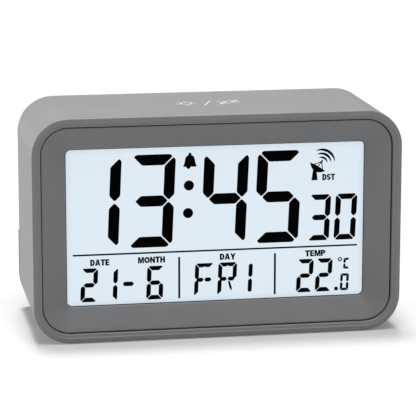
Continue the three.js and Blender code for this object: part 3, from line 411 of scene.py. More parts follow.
LEAD_RED = (0.40, 0.02, 0.02)
RECIPES = {
    "case_plastic": (moulded, 0.32 * MM, 0.02 * MM, 0.50),
    "rear_plastic": (moulded, 0.32 * MM, 0.02 * MM, 0.50),
    # A darker copy of the case plastic: painted shade against the light from the lit film.
    "shaded_frame_plastic": (moulded, 0.28 * MM, 0.012 * MM, 0.46),
    "button_plastic": (moulded, 0.3 * MM, 0.012 * MM, 0.45),
    "white_plastic": (moulded, (0.80, 0.81, 0.81), 0.4 * MM, 0.01 * MM, 0.5),
    "knob_plastic": (moulded, (0.02, 0.02, 0.021), 0.25 * MM, 0.01 * MM, 0.42),
    "switch_resin": (moulded, (0.015, 0.015, 0.016), 0.3 * MM, 0.01 * MM, 0.45),
    "shade_seal_foam": (rubber, (0.010, 0.010, 0.011)),
    "foot_rubber": (rubber, (0.022, 0.022, 0.023)),
    "contact_rubber": (rubber, (0.05, 0.05, 0.052)),
    "lit_film": (lit_film,),
    "display_glass": (clear_sheet, (0.66, 0.75, 0.78), 0.05),
    "guide_acrylic": (clear_sheet, (0.78, 0.84, 0.87), 0.12),
    "segment_ink": (segment_ink,),
    "sign_print": (speckled, 0.18 * MM, 2.0, (0.86, 1.0), (0.55, 0.15), 0.01 * MM),
    "chip_resin": (speckled, (0.012, 0.012, 0.013), 2.4 * MM, 2.0, (1.0, 1.7), (0.3, 0.2), 0.1 * MM),
    "circuit_board": (circuit_board,),
    "screw_steel": (plated, (0.56, 0.57, 0.59), 0.26, "Y"),
    "switch_steel": (plated, (0.62, 0.63, 0.65), 0.24, "X"),
    "spring_steel": (plated, (0.66, 0.67, 0.69), 0.2, "X"),
    "contact_steel": (plated, (0.64, 0.65, 0.66), 0.22, "Z"),
    "coil_copper": (plated, (0.50, 0.20, 0.08), 0.24, "X"),
    "foil_copper": (plated, (0.72, 0.40, 0.22), 0.25, "X"),
    "brass_sheet": (plated, (0.42, 0.30, 0.12), 0.30, "X"),
    "ferrite": (sintered, (0.035, 0.035, 0.04)),
    "piezo_ceramic": (sintered, (0.55, 0.52, 0.44)),
    "cell_film_upper": (cell_film, True),
    "cell_film_lower": (cell_film, False),
    "lead_red": (insulation, LEAD_RED),
    "lead_black": (insulation, (0.015, 0.015, 0.016)),
    "ribbon_grey": (flat_cable, (0.36, 0.37, 0.38)),
    "floor_paper": (floor_paper,),
}
finishes = {}


def finish_of(name, *values):
    """The material of that name, made once from its recipe, which follows the values given here."""
    if name not in finishes:
        make, *fixed = RECIPES[name]
        finishes[name] = make(Finish(name), *values, *fixed)
    return finishes[name]


# Shapes

WELD = 0.001 * MM
Row = namedtuple("Row", "size y rounding steps", defaults=(0.0, 4))


def middle_and_half(node):
    """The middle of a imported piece's box, and half its size."""
    low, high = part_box(node)
    return (low + high) / 2, (high - low) / 2


def bevel(bm, geom, radius, steps, affect="EDGES"):
    return bmesh.ops.bevel(
        bm, geom=geom, offset=radius, offset_type="OFFSET", segments=steps, profile=0.5,
        affect=affect, clamp_overlap=True, material=-1)


def rounded_loop(bm, width, height, radius, y, steps, x, z):
    """The edges of a rounded rectangle that faces the front, at depth y."""
    stand = Matrix.Translation((x, y, z)) @ Matrix.Rotation(math.pi / 2, 4, "X")
    size = Matrix.Diagonal((width, height, 1.0, 1.0))
    corners = bmesh.ops.create_grid(bm, x_segments=1, y_segments=1, size=0.5, matrix=stand @ size)["verts"]
    made = bevel(bm, corners, radius, steps, "VERTICES")
    face = made["verts"][0].link_faces[0]
    edges = list(face.edges)
    bmesh.ops.delete(bm, geom=[face], context="FACES_ONLY")
    return edges


def skin(bm, rows, steps, middle=(0.0, MIDDLE_Z), closed=True):
    """Bridges rounded rectangles, one per row, each with a size of width, height and corner radius.
    The loops are bridged well apart, because loops in one plane would be twisted, then moved to their depths.
    The skin closes on its first row, or else its first and last rows get a flat face."""
    apart = 1.0
    loops = [rounded_loop(bm, *row.size, number * apart, steps, *middle) for number, row in enumerate(rows)]
    pairs = list(zip(loops, loops[1:] + loops[:1]))
    for first, second in pairs if closed else pairs[:-1]:
        bmesh.ops.bridge_loops(bm, edges=first + second)
    for number, (row, edges) in enumerate(zip(rows, loops)):
        verts = list({v for e in edges for v in e.verts})
        bmesh.ops.translate(bm, vec=(0, row.y - number * apart, 0), verts=verts)
    for edges in () if closed else (loops[0], loops[-1]):
        bmesh.ops.contextual_create(bm, geom=edges)
    bmesh.ops.recalc_face_normals(bm, faces=bm.faces)
    for row, edges in zip(rows, loops):
        if row.rounding:
            bevel(bm, edges, row.rounding, row.steps)


def turned(bm, profile, place, steps, axis="Y"):
    """Spins a profile of radius and reach about an axis through place."""
    along = Vector([float(name == axis) for name in "XYZ"])
    out = Vector((1, 0, 0)) if axis == "Z" else Vector((0, 0, 1))
    place = Vector(place)
    verts = [bm.verts.new(place + out * radius + along * reach) for radius, reach in profile]
    edges = [bm.edges.new(pair) for pair in zip(verts, verts[1:])]
    bmesh.ops.spin(
        bm, geom=verts + edges, cent=place, axis=along, angle=FULL_TURN, steps=steps, use_merge=True)
    bmesh.ops.remove_doubles(bm, verts=bm.verts, dist=WELD)
    bmesh.ops.recalc_face_normals(bm, faces=bm.faces)


def block(bm, low, high, edge=0.0):
    """A box between two corners, with rounded edges."""
    low, high = Vector(low), Vector(high)
    fit = Matrix.Translation((low + high) / 2) @ Matrix.Diagonal((*(high - low), 1.0))
    verts = bmesh.ops.create_cube(bm, size=1.0, matrix=fit)["verts"]
    if edge:
        bevel(bm, list({e for v in verts for e in v.link_edges}), edge, 2)


def soften(bm, sharp, radius):
    """Rounds off the edges that turn more than an angle."""
    edges = [e for e in bm.edges if len(e.link_faces) == 2 and e.calc_face_angle(0.0) > sharp]
    bevel(bm, edges, radius, 2)


def softened_copy(node, sharp, radius):
    """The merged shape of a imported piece, with flat parts made whole faces and edges rounded off."""
    bm = bmesh.new()
    bm.from_mesh(frame["nodes"][node].data)
    bmesh.ops.remove_doubles(bm, verts=bm.verts, dist=2 * WELD)
    bmesh.ops.dissolve_limit(
        bm, angle_limit=math.radians(0.5), verts=bm.verts, edges=bm.edges, use_dissolve_boundaries=False)
    soften(bm, sharp, radius)
    return bm


def add_tube(bm, points, radius, sides=3):
    """A round wire through points, which is drawn as a curve first."""
    curve = bpy.data.curves.new("wire", "CURVE")
    curve.dimensions = "3D"
    curve.bevel_depth = radius
    curve.bevel_resolution = sides
    curve.use_fill_caps = True
    spline = curve.splines.new("POLY")
    spline.points.add(len(points) - 1)
    for point, place in zip(spline.points, points):
        point.co = (*place, 1.0)
    wire = bpy.data.objects.new("wire", curve)
    bpy.context.scene.collection.objects.link(wire)
    bpy.context.view_layer.update()
    mesh = bpy.data.meshes.new_from_object(wire.evaluated_get(bpy.context.evaluated_depsgraph_get()))
    bm.from_mesh(mesh)
    for group, item in ((bpy.data.objects, wire), (bpy.data.curves, curve), (bpy.data.meshes, mesh)):
        group.remove(item)


def smooth_route(points, steps=9):
    """Places on a smooth curve through a few points, given in millimetres."""
    points = [Vector(point) * MM for point in points]
    ends = [2 * points[0] - points[1], *points, 2 * points[-1] - points[-2]]
    route = []
    for before, start, end, after in zip(ends, ends[1:], ends[2:], ends[3:]):
        handles = start + (end - before) / 6, end - (after - start) / 6
        route += interpolate_bezier(start, *handles, end, steps)[:-1]
    return route + [points[-1]]


def helix(middle, radii, ends, turns, per_turn):
    """Places on a winding about x, from its first radius and end to its last."""
    count = int(turns * per_turn)
    places = []
    for step in range(count + 1):
        share = step / count
        turn = share * turns * FULL_TURN
        radius, x = (first + (last - first) * share for first, last in (radii, ends))
        places.append((x, middle.y + radius * math.cos(turn), middle.z + radius * math.sin(turn)))
    return places


def add_piece(name, bm, material, replaces=(), body="case", smooth=35):
    """Makes the piece's object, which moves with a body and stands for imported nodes.
    Edges that turn more than the angle smooth, in degrees, stay sharp."""
    mesh = bpy.data.meshes.new(name)
    bm.to_mesh(mesh)
    bm.free()
    mesh.materials.clear()
    mesh.materials.append(material)
    mesh.polygons.foreach_set("material_index", [0] * len(mesh.polygons))
    mesh.shade_smooth()
    mesh.set_sharp_from_angle(angle=math.radians(smooth))
    piece = bpy.data.objects.new(name, mesh)
    bpy.context.scene.collection.objects.link(piece)
    normals = piece.modifiers.new("even_shading", "WEIGHTED_NORMAL")
    normals.keep_sharp = True
    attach(piece, body)
    if replaces:
        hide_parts(*replaces)


def dress(material, *nodes):
    """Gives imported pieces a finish."""
    for name in nodes:
        mesh = frame["nodes"][name].data
        mesh.materials.clear()
        mesh.materials.append(material)


# Drawing, with x and z in millimetres and the depth y in metres

INK_Y = FILM_LOW.y - 0.02 * MM
PRINT = 0.01 * MM
PRINT_GAP = 0.012 * MM


def polygon(bm, points, y):
    """A flat face through points of x and z."""
    return bm.faces.new([bm.verts.new((x * MM, y, z * MM)) for x, z in points])


def bar(first, second, half):
    """The outline of a straight bar between two points."""
    first, second = Vector(first), Vector(second)
    aside = (second - first).orthogonal().normalized() * half
    return [first - aside, second - aside, second + aside, first + aside]


def cross(x, z, reach, half):
    """The outline of a cross with four equal arms."""
    points, arm = [], [(reach, -half), (reach, half), (half, half)]
    for _ in range(4):
        points += [(x + u, z + v) for u, v in arm]
        arm = [(-v, u) for u, v in arm]
    return points


def towards(degrees):
    return Vector((math.cos(math.radians(degrees)), math.sin(math.radians(degrees))))


def disc(bm, centre, radius, y, steps=24):
    x, z = centre
    stand = Matrix.Translation((x * MM, y, z * MM)) @ Matrix.Rotation(math.pi / 2, 4, "X")
    bmesh.ops.create_circle(bm, cap_ends=True, segments=steps, radius=radius * MM, matrix=stand)


def arc_band(bm, centre, inner, outer, y, steps, start=0, sweep=360):
    """A flat band round a centre, between two radii, with its angles in degrees."""
    x, z = centre
    u, v = towards(start)
    verts = [bm.verts.new(((x + u * radius) * MM, y, (z + v * radius) * MM)) for radius in (inner, outer)]
    bmesh.ops.spin(
        bm, geom=[*verts, bm.edges.new(verts)], cent=(x * MM, y, z * MM), axis=(0, -1, 0),
        angle=math.radians(sweep), steps=steps, use_merge=sweep == 360)
    bmesh.ops.remove_doubles(bm, verts=bm.verts, dist=WELD)


def verts_of(made):
    return [item for item in made["geom"] if isinstance(item, bmesh.types.BMVert)]


def thicken(bm, depth):
    """Pulls all flat faces towards the front into thin plates."""
    made = bmesh.ops.extrude_face_region(bm, geom=list(bm.faces), use_keep_orig=True)
    bmesh.ops.translate(bm, vec=(0, -depth, 0), verts=verts_of(made))
    bmesh.ops.recalc_face_normals(bm, faces=bm.faces)


def add_bell(bm, place, scale, y):
    """An alarm bell with its knob and clapper."""
    x, z = place
    flank = [(0.0, 2.05), (0.8, 1.95), (1.36, 1.55), (1.68, 0.9), (1.88, 0.0), (2.03, -0.9), (2.22, -1.5),
             (2.42, -1.85), (2.42, -2.22)]
    outline = flank + [(-u, v) for u, v in reversed(flank[1:])]
    polygon(bm, [(x + u * scale, z + v * scale) for u, v in outline], y)
    for across, rise, radius in ((0.0, 2.35, 0.58), (-0.6, -2.25, 0.75)):
        disc(bm, (x + across * scale, z + rise * scale), radius * scale, y - 0.005 * MM)


# Segments a to g make the digits. The letters also use halves of the bars, a middle upright and legs.
SEGMENTS = {
    "0": "abcdef", "1": "bc", "2": "abdeg", "3": "abcdg", "4": "bcfg", "5": "acdfg", "6": "acdefg", "7": "abc",
    "8": "abcdefg", "9": "abcdfg", "C": "adef", " ": "", "F": "tefhj", "R": "tbefhjk", "I": "il", "M": "bcefno",
    "O": "tbcdef", "N": "bcefnk", "T": "til", "U": "bcdef", "E": "tdefhj", "W": "bcefpk", "D": "tbcdil",
    "H": "bcefhj", "S": "tcdfhj", "A": "tbcefhj",
}
DigitSize = namedtuple("DigitSize", "width height thick gap")
TIME_DIGIT = DigitSize(16.5, 34.2, 4.0, 0.42)
SECOND_DIGIT = DigitSize(8.1, 17.2, 2.05, 0.26)
ROW_DIGIT = DigitSize(6.15, 12.5, 1.64, 0.22)
DAY_LETTER = DigitSize(6.95, 12.3, 1.52, 0.2)
TENTH_DIGIT = DigitSize(3.2, 6.4, 0.95, 0.06)
UNIT_LETTER = DigitSize(2.4, 4.1, 0.86, 0.04)


def segment_points(width, height, thick, gap):
    """Outlines of the segments of one digit, in a box from the lower left corner.
    A digit's outer corners are clipped, and its uprights end in points at half height."""
    cut = gap / math.sqrt(2)
    clip = half = thick / 2
    step = (clip - cut) / 2
    middle, centre = height / 2, width / 2
    notch = thick * 0.28

    def across(points):
        return [(width - u, v) for u, v in points]

    def down(points):
        return [(u, height - v) for u, v in points]

    def level(left, right, tip=half):
        return [(left, middle), (left + tip, middle + half), (right - tip, middle + half), (right, middle),
                (right - tip, middle - half), (left + tip, middle - half)]

    mitre = [(thick + cut, height - thick), (clip - step, height - step), (clip, height)]
    top = mitre + across(mitre)[::-1]
    notched = top + [(centre + notch, height - thick), (centre, height - thick + notch),
                     (centre - notch, height - thick)]
    side = [(0, height - clip), (step, height - clip + step), (thick, height - thick - cut),
            (thick, middle + half + cut), (half, middle + cut), (0, middle + half + cut)]
    end, snip = height - thick * 0.6, thick * 0.25
    upright = [(centre - half, end - snip), (centre - half + snip, end), (centre + half - snip, end),
               (centre + half, end - snip), (centre + half, middle + half + cut), (centre, middle + cut),
               (centre - half, middle + half + cut)]
    leg = [(centre + thick * 0.2, middle - half - cut), (centre + thick * 0.7, middle - half - cut),
           (centre + thick * 1.25, middle * 0.45), (centre + thick * 1.2, middle * 0.24),
           (centre + thick * 0.7, middle * 0.42)]
    left_half = level(half * 0.7 + cut, centre - cut / 2, half * 0.8)
    return {
        "a": top, "t": notched, "d": down(top), "f": side, "e": down(side), "b": across(side),
        "c": down(across(side)), "g": level(half + cut, width - half - cut), "h": left_half,
        "j": across(left_half), "i": upright, "l": down(upright), "k": leg, "n": down(across(leg)),
        "o": down(leg), "p": across(leg),
    }


def add_row(bm, letters, size, first_x, low_z, pitch, slant):
    """Digits or letters side by side, each leaning about the middle of its height."""
    outlines = segment_points(*size)
    lean, soft = math.tan(slant), size.thick * 0.13
    for number, letter in enumerate(letters):
        left = first_x + number * pitch - size.width / 2
        for segment in SEGMENTS[letter]:
            face = polygon(bm, [(left + u + (v - size.height / 2) * lean, low_z + v)
                                for u, v in outlines[segment]], INK_Y)
            bevel(bm, list(face.verts), soft * MM, 3, "VERTICES")


def mirrored(points):
    """The same outline below half height."""
    return [(u, 1 - v) for u, v in reversed(points)]


def stairs(x, z, *ends):
    """Points of an outline of level and upright lines, which end at an x and a z in turn."""
    points = [(x, z)]
    for number, end in enumerate(ends):
        x, z = (x, end) if number % 2 else (end, z)
        points.append((x, z))
    return points


def bow(centre, radii, start, sweep, steps=10):
    """Points along part of an ellipse, with its angles in degrees."""
    turns = [towards(start + sweep * step / steps) for step in range(steps + 1)]
    return [(centre[0] + radii[0] * turn.x, centre[1] + radii[1] * turn.y) for turn in turns]


def bold_capitals():
    """Outlines of the capitals that the clock needs, one high, each with its width."""
    left_a = [(0.52, 0.17), (0.52, 0.39), (0.45, 0.39), (0.52, 0.67), (0.52, 1), (0.33, 1), (0, 0), (0.33, 0),
              (0.37, 0.17)]
    right_a = [(1.04 - u, v) for u, v in reversed(left_a)]
    d, o, p, s_high, s_low = (0.42, 0.5), (0.53, 0.5), (0.46, 0.68), (0.43, 0.69), (0.43, 0.31)
    p_outer, p_inner, s_outer, s_inner = (0.4, 0.32), (0.06, 0.08), (0.43, 0.31), (0.1, 0.06)
    upper_d = [(0.36, 0.5), (0, 0.5), (0, 1), (0.42, 1), *bow(d, (0.48, 0.5), 90, -90),
               *bow(d, (0.13, 0.25), 0, 90), (0.36, 0.75)]
    upper_o = [*bow(o, (0.53, 0.5), 180, -180, 16), *bow(o, (0.18, 0.23), 0, 180, 16)]
    upper_p = [(0.36, 0.68), (0, 0.68), (0, 1), (0.46, 1), *bow(p, p_outer, 90, -90),
               *bow(p, p_inner, 0, 90), (0.36, 0.76)]
    lower_p = [(0.36, 0.6), (0.46, 0.6), *bow(p, p_inner, -90, 90), *bow(p, p_outer, 0, -90), (0.36, 0.36),
               (0.36, 0), (0, 0), (0, 0.68), (0.36, 0.68)]
    s = [*bow(s_high, s_outer, 12, 258), *bow(s_low, s_inner, 90, -258)[1:],
         *bow(s_low, s_outer, -168, 258), *bow(s_high, s_inner, 270, -258)[1:]]
    return {
        "A": (1.04, [left_a, right_a]),
        "D": (0.9, [upper_d, mirrored(upper_d)]),
        "E": (0.8, [stairs(0, 0, 0.8, 0.23, 0.36, 0.39, 0.74, 0.61, 0.36, 0.77, 0.78, 1, 0)]),
        "F": (0.74, [stairs(0, 0, 0.36, 0.39, 0.68, 0.61, 0.36, 0.77, 0.74, 1, 0)]),
        "H": (0.92, [stairs(0, 0, 0.35, 0.38, 0.57, 0, 0.92, 1, 0.57, 0.63, 0.35, 1, 0)]),
        "M": (1.12, [[(0, 0), (0.29, 0), (0.29, 0.58), (0.43, 0), (0.69, 0), (0.83, 0.58), (0.83, 0), (1.12, 0),
                      (1.12, 1), (0.73, 1), (0.56, 0.42), (0.39, 1), (0, 1)]]),
        "N": (0.94, [[(0, 0), (0.32, 0), (0.32, 0.5), (0.62, 0), (0.94, 0), (0.94, 1), (0.62, 1), (0.62, 0.5),
                      (0.32, 1), (0, 1)]]),
        "O": (1.06, [upper_o, mirrored(upper_o)]),
        "P": (0.86, [upper_p, lower_p]),
        "S": (0.86, [s]),
        "T": (0.88, [stairs(0.26, 0, 0.62, 0.76, 0.88, 1, 0, 0.76, 0.26)]),
        "Y": (1.02, [[(0.33, 0), (0.69, 0), (0.69, 0.4), (1.02, 1), (0.68, 1), (0.51, 0.67), (0.34, 1), (0, 1),
                      (0.33, 0.4)]]),
    }


CAPITALS = bold_capitals()


def add_word(bm, word, middle_x, middle_z, width, height, y):
    """A word in bold capitals that faces the front, fitted to a width and a height."""
    space = 0.05
    total = sum(CAPITALS[letter][0] for letter in word) + space * (len(word) - 1)
    across = -total / 2
    for letter in word:
        wide, outlines = CAPITALS[letter]
        for outline in outlines:
            polygon(bm, [(middle_x + (across + u) * width / total, middle_z + (v - 0.5) * height)
                         for u, v in outline], y)
        across += wide + space
    bmesh.ops.remove_doubles(bm, verts=bm.verts, dist=WELD)


# Front

def add_boss(bm, place, radius, bore, depth, floor, steps):
    """A round post towards the back, with a blind hole in its end."""
    turned(bm, [(0, 0), (radius, 0), (radius, depth), (bore, depth), (bore, floor), (0, floor)], place, steps)


def add_case_bosses(bm, wall):
    """The posts for the case screws, each with two ribs to the walls."""
    radius, bore, rib = 3.3 * MM, 1.6 * MM, 0.8 * MM
    front, depth = -4.75 * MM, 24 * MM
    for number in range(1, 5):
        (x, _, z), _ = middle_and_half(f"case_screw_{number}")
        add_boss(bm, (x, front, z), radius, bore, depth, depth / 2, 32)
        out_x = HIGH.x - wall if x > 0 else LOW.x + wall
        out_z = HIGH.z - wall if z > MIDDLE_Z else LOW.z + wall
        block(bm, (min(x, out_x), front, z - rib), (max(x, out_x), front + depth, z + rib))
        block(bm, (x - rib, front, min(z, out_z)), (x + rib, front + depth, max(z, out_z)))


def add_cradles(bm, wall):
    """Two forks under the top that hold the aerial's rod."""
    apart, thick, play = 46 * MM, 2.4 * MM, 0.1 * MM
    rod, half = middle_and_half("ferrite_rod")
    slot, reach, low = half.z + play, 2 * half.z, rod.z - half.z
    for x in (-apart / 2, apart / 2):
        for y0, y1, z0 in ((-reach, -slot, low), (-slot, slot, rod.z + slot), (slot, reach, low)):
            block(bm, (x - thick / 2, rod.y + y0, z0), (x + thick / 2, rod.y + y1, HIGH.z - wall))


class CLOCK_OT_sleeve(bpy.types.Operator):
    """Make the moulded sleeve with its rim, its bosses and the aerial's cradles"""

    bl_idname = "clock.sleeve"
    bl_label = "Sleeve"

    def execute(self, context):
        settings = context.scene.clock
        case = settings.case
        size, film = HIGH - LOW, FILM_HIGH - FILM_LOW
        # Shares of the way across the rim's hollow, each with its depth in millimetres.
        hollow = ((0.0, 0.0), (0.12, 0.2), (0.25, 0.3), (0.5, 0.41))
        hollow_floor, hollow_edge, rear_lip, frame_play = 0.42 * MM, 0.6 * MM, 0.3 * MM, 0.1 * MM
        flange_front = FASCIA_LOW.y + case.dish + case.sill + frame_play
        flange_back = flange_front + case.flange
        hole = (film.x + 2 * case.flange_play, film.z + 2 * case.flange_play, case.window_corner)

        def inset(amount, *row):
            return Row((size.x - 2 * amount, size.z - 2 * amount, case.corner - amount), *row)

        bm = bmesh.new()
        skin(bm, [
            inset(0.0, HIGH.y, case.rear_edge, 3), inset(0.0, LOW.y, case.edge, 6),
            *[inset(case.rim - case.rim_edge * (1 - across), LOW.y + depth * MM) for across, depth in hollow],
            inset(case.rim, LOW.y + hollow_floor, hollow_edge, 5), inset(case.rim, flange_front),
            Row(hole, flange_front), Row(hole, flange_back),
            inset(case.wall, flange_back), inset(case.wall, HIGH.y, rear_lip, 2),
        ], settings.corner_steps)
        add_case_bosses(bm, case.wall / 2)
        sunk, radius, bore, depth, floor = 1.0 * MM, 2.2 * MM, 1.2 * MM, 5.0 * MM, 2.0 * MM
        for node in ("board_screw_left", "board_screw_right"):
            (x, _, z), _ = middle_and_half(node)
            add_boss(bm, (x, flange_back - sunk, z), radius, bore, depth, floor, 24)
        add_cradles(bm, case.wall / 2)
        add_piece("sleeve", bm, finish_of("case_plastic", case.plastic), ["front_housing"])
        return {"FINISHED"}


class CLOCK_OT_fascia(bpy.types.Operator):
    """Make the dished frame round the display, and the dark seal inside its window, which paints in the shade
    of the window's inner wall
    """

    bl_idname = "clock.fascia"
    bl_label = "Dished frame"

    def execute(self, context):
        settings = context.scene.clock
        case = settings.case
        width, height = FASCIA_HIGH.x - FASCIA_LOW.x, FASCIA_HIGH.z - FASCIA_LOW.z
        corner = case.corner - case.rim - case.groove
        front = FASCIA_LOW.y
        back = front + case.dish + case.sill

        def inset(amount):
            return (width - 2 * amount, height - 2 * amount, corner - amount)

        outer, land, inner = inset(0.0), inset(case.land), inset(case.frame_wall)
        window = (width - 2 * case.border_side, height - 2 * case.border_rise, case.window_corner)

        def behind(share):
            """A row behind the slope, at a share of the way from the land to the window."""
            between = tuple(first + (last - first) * share for first, last in zip(land, window))
            return Row(between, front + case.frame_wall + case.dish * share)

        near = (land[0] - inner[0]) / (land[0] - window[0])
        far = (back - front - case.frame_wall) / case.dish
        outer_edge, land_edge, window_edge = 0.25 * MM, 0.4 * MM, 0.35 * MM
        bm = bmesh.new()
        skin(bm, [
            Row(outer, back), Row(outer, front, outer_edge, 3), Row(land, front, land_edge, 3),
            Row(window, front + case.dish, window_edge), Row(window, back), behind(far), behind(near),
            Row(inner, back),
        ], settings.corner_steps)
        bmesh.ops.translate(bm, vec=(-case.play, 0, case.play / 2), verts=bm.verts)
        add_piece("fascia", bm, finish_of("shaded_frame_plastic", case.shaded_frame_plastic),
                  ["fascia_frame"])

        # A black seal along the window's inner wall stands in for the wall's shade: painted shade.
        def seal(amount, y):
            return Row((window[0] - 2 * amount, window[1] - 2 * amount, window[2] - amount), y)

        gap, overlap = 0.02 * MM, 0.06 * MM
        seal_front, seal_back = back - case.seal_depth, back + overlap
        bm = bmesh.new()
        skin(bm, [seal(gap, seal_front), seal(gap, seal_back), seal(case.seal, seal_back),
                  seal(case.seal, seal_front)], 6)
        add_piece("window_shade_seal", bm, finish_of("shade_seal_foam"))
        return {"FINISHED"}


class CLOCK_OT_display_film(bpy.types.Operator):
    """Light the display's film and finish the sheets behind it"""

    bl_idname = "clock.display_film"
    bl_label = "Display film"

    def execute(self, context):
        dress(finish_of("lit_film", context.scene.clock.display), "front_polariser")
        dress(finish_of("display_glass"), "lcd_front_glass", "lcd_rear_glass")
        dress(finish_of("guide_acrylic"), "light_guide")
        dress(finish_of("white_plastic"), "diffuser_sheet", "reflector_sheet", "display_carrier",
              "backlight_led_1", "backlight_led_2", "backlight_led_3")
        return {"FINISHED"}


def add_ink(name, bm, display):
    thicken(bm, display.ink)
    add_piece(name, bm, finish_of("segment_ink", display.dark), smooth=30)


def draw_colon(bm):
    for place in ((-10.0, 55.9), (-10.35, 45.7)):
        disc(bm, place, 1.87, INK_Y, 32)


def draw_dash(bm):
    """The dash between the date and the month."""
    left, right, z, tip, half = -34.4, -30.3, 20.25, 0.6, ROW_DIGIT.thick / 2
    soft = 0.15 * MM
    face = polygon(bm, [(left, z), (left + tip, z + half), (right - tip, z + half), (right, z),
                        (right - tip, z - half), (left + tip, z - half)], INK_Y)
    bevel(bm, list(face.verts), soft, 2, "VERTICES")


def draw_degree(bm):
    """The decimal point and the degree sign."""
    disc(bm, (45.0, 15.2), 0.75, INK_Y)
    arc_band(bm, (46.35, 26.25), 0.4, 0.82, INK_Y, 28)


class CLOCK_OT_digits(bpy.types.Operator):
    """Draw the digits and letters of the time, the date, the day and the temperature"""

    bl_idname = "clock.digits"
    bl_label = "Digits"

    def execute(self, context):
        display = context.scene.clock.display
        # Each row has its text, size, first middle, foot and pitch.
        pieces = {
            "time_digits": (draw_colon, [
                (display.hours, TIME_DIGIT, -43.4, 33.5, 19.7),
                (display.minutes, TIME_DIGIT, 3.2, 33.5, 19.7)]),
            "second_digits": (None, [(display.seconds, SECOND_DIGIT, 38.35, 33.7, 9.87)]),
            "date_digits": (draw_dash, [
                (display.date, ROW_DIGIT, -46.65, 14.05, 7.3),
                (display.month, ROW_DIGIT, -22.55, 14.05, 7.3)]),
            "day_letters": (None, [(display.day, DAY_LETTER, -4.5, 14.5, 8.6)]),
            "temperature_digits": (draw_degree, [
                (display.degrees, ROW_DIGIT, 33.15, 14.35, 7.12),
                (display.tenths, TENTH_DIGIT, 48.1, 14.45, 4.0),
                ("C", UNIT_LETTER, 48.85, 22.6, 0.0)]),
        }
        for name, (draw_signs, rows) in pieces.items():
            bm = bmesh.new()
            for row in rows:
                add_row(bm, *row, display.slant)
            if draw_signs:
                draw_signs(bm)
            add_ink(name, bm, display)
        return {"FINISHED"}


class CLOCK_OT_rules(bpy.types.Operator):
    """Draw the dividing rules and the words over the lower row"""

    bl_idname = "clock.rules"
    bl_label = "Rules and words"

    def execute(self, context):
        display = context.scene.clock.display
        level_half, upright_half, tall = 0.31, 0.37, 2.32
        bm = bmesh.new()
        polygon(bm, bar((-52.5, 31.5), (52.7, 31.5), level_half), INK_Y)
        for x in (-13.65, 21.9):
            polygon(bm, bar((x, 14.05), (x, 29.5), upright_half), INK_Y)
        add_ink("display_rules", bm, display)
        bm = bmesh.new()
        words = (("DATE", -42.7, 28.6, 7.0), ("MONTH", -23.8, 28.85, 9.9), ("DAY", 4.3, 28.95, 5.85),
                 ("TEMP", 37.0, 28.95, 7.6), ("DST", 41.72, 57.3, 4.7))
        for word in words:
            add_word(bm, *word, tall, INK_Y)
        add_ink("display_words", bm, display)
        return {"FINISHED"}


class CLOCK_OT_signs(bpy.types.Operator):
    """Draw the alarm bell and the radio signal's dish"""

    bl_idname = "clock.signs"
    bl_label = "Bell and dish"

    def execute(self, context):
        display = context.scene.clock.display
        bm = bmesh.new()
        add_bell(bm, (-9.6, 65.0), 1.0, INK_Y)
        add_ink("bell_sign", bm, display)

        rim_left, rim_right = Vector((34.75, 62.95)), Vector((40.45, 59.5))
        feed, tip, source = Vector((39.1, 63.1)), Vector((39.55, 63.75)), Vector((38.85, 62.4))
        mast = ((35.3, 56.25), (37.6, 56.25), (37.25, 59.3), (37.2, 60.5), (35.95, 60.8))
        steps, overlap = 16, 0.002 * MM

        def dish(depth):
            """Points from rim to rim on a curve that bulges to the lower left."""
            middle, reach = (rim_left + rim_right) / 2, (rim_right - rim_left) / 2
            bulge = Vector((reach.y, -reach.x)).normalized() * depth
            shares = [step / steps * 2 - 1 for step in range(steps + 1)]
            return [middle + reach * share + bulge * (1 - share * share) for share in shares]

        def wave(radius, half):
            """An arc of the signal that thins towards its ends."""
            inner, outer = [], []
            for step in range(steps + 1):
                heading = towards(8 + 104 * step / steps)
                thin = half * (1 - 0.85 * (2 * step / steps - 1) ** 2)
                inner.append(source + heading * (radius - thin))
                outer.append(source + heading * (radius + thin))
            return inner + outer[::-1]

        shapes = [dish(1.95) + dish(-0.25)[-2:0:-1], mast]
        shapes += [bar(dish(0.0)[step], feed, 0.17) for step in (4, 8, 13)] + [bar(feed, tip, 0.2)]
        shapes += [wave(radius, half) for radius, half in ((2.3, 0.36), (3.7, 0.46), (5.15, 0.5))]
        bm = bmesh.new()
        for number, shape in enumerate(shapes):
            polygon(bm, shape, INK_Y - overlap * number)
        disc(bm, feed, 0.36, INK_Y - 10 * overlap)
        add_ink("dish_sign", bm, display)
        return {"FINISHED"}


def add_print(name, bm, case, place):
    """Makes signs thin and moves them onto a face of the case."""
    thicken(bm, PRINT)
    bmesh.ops.transform(bm, matrix=place, verts=bm.verts)
    add_piece(name, bm, finish_of("sign_print", case.print_colour))


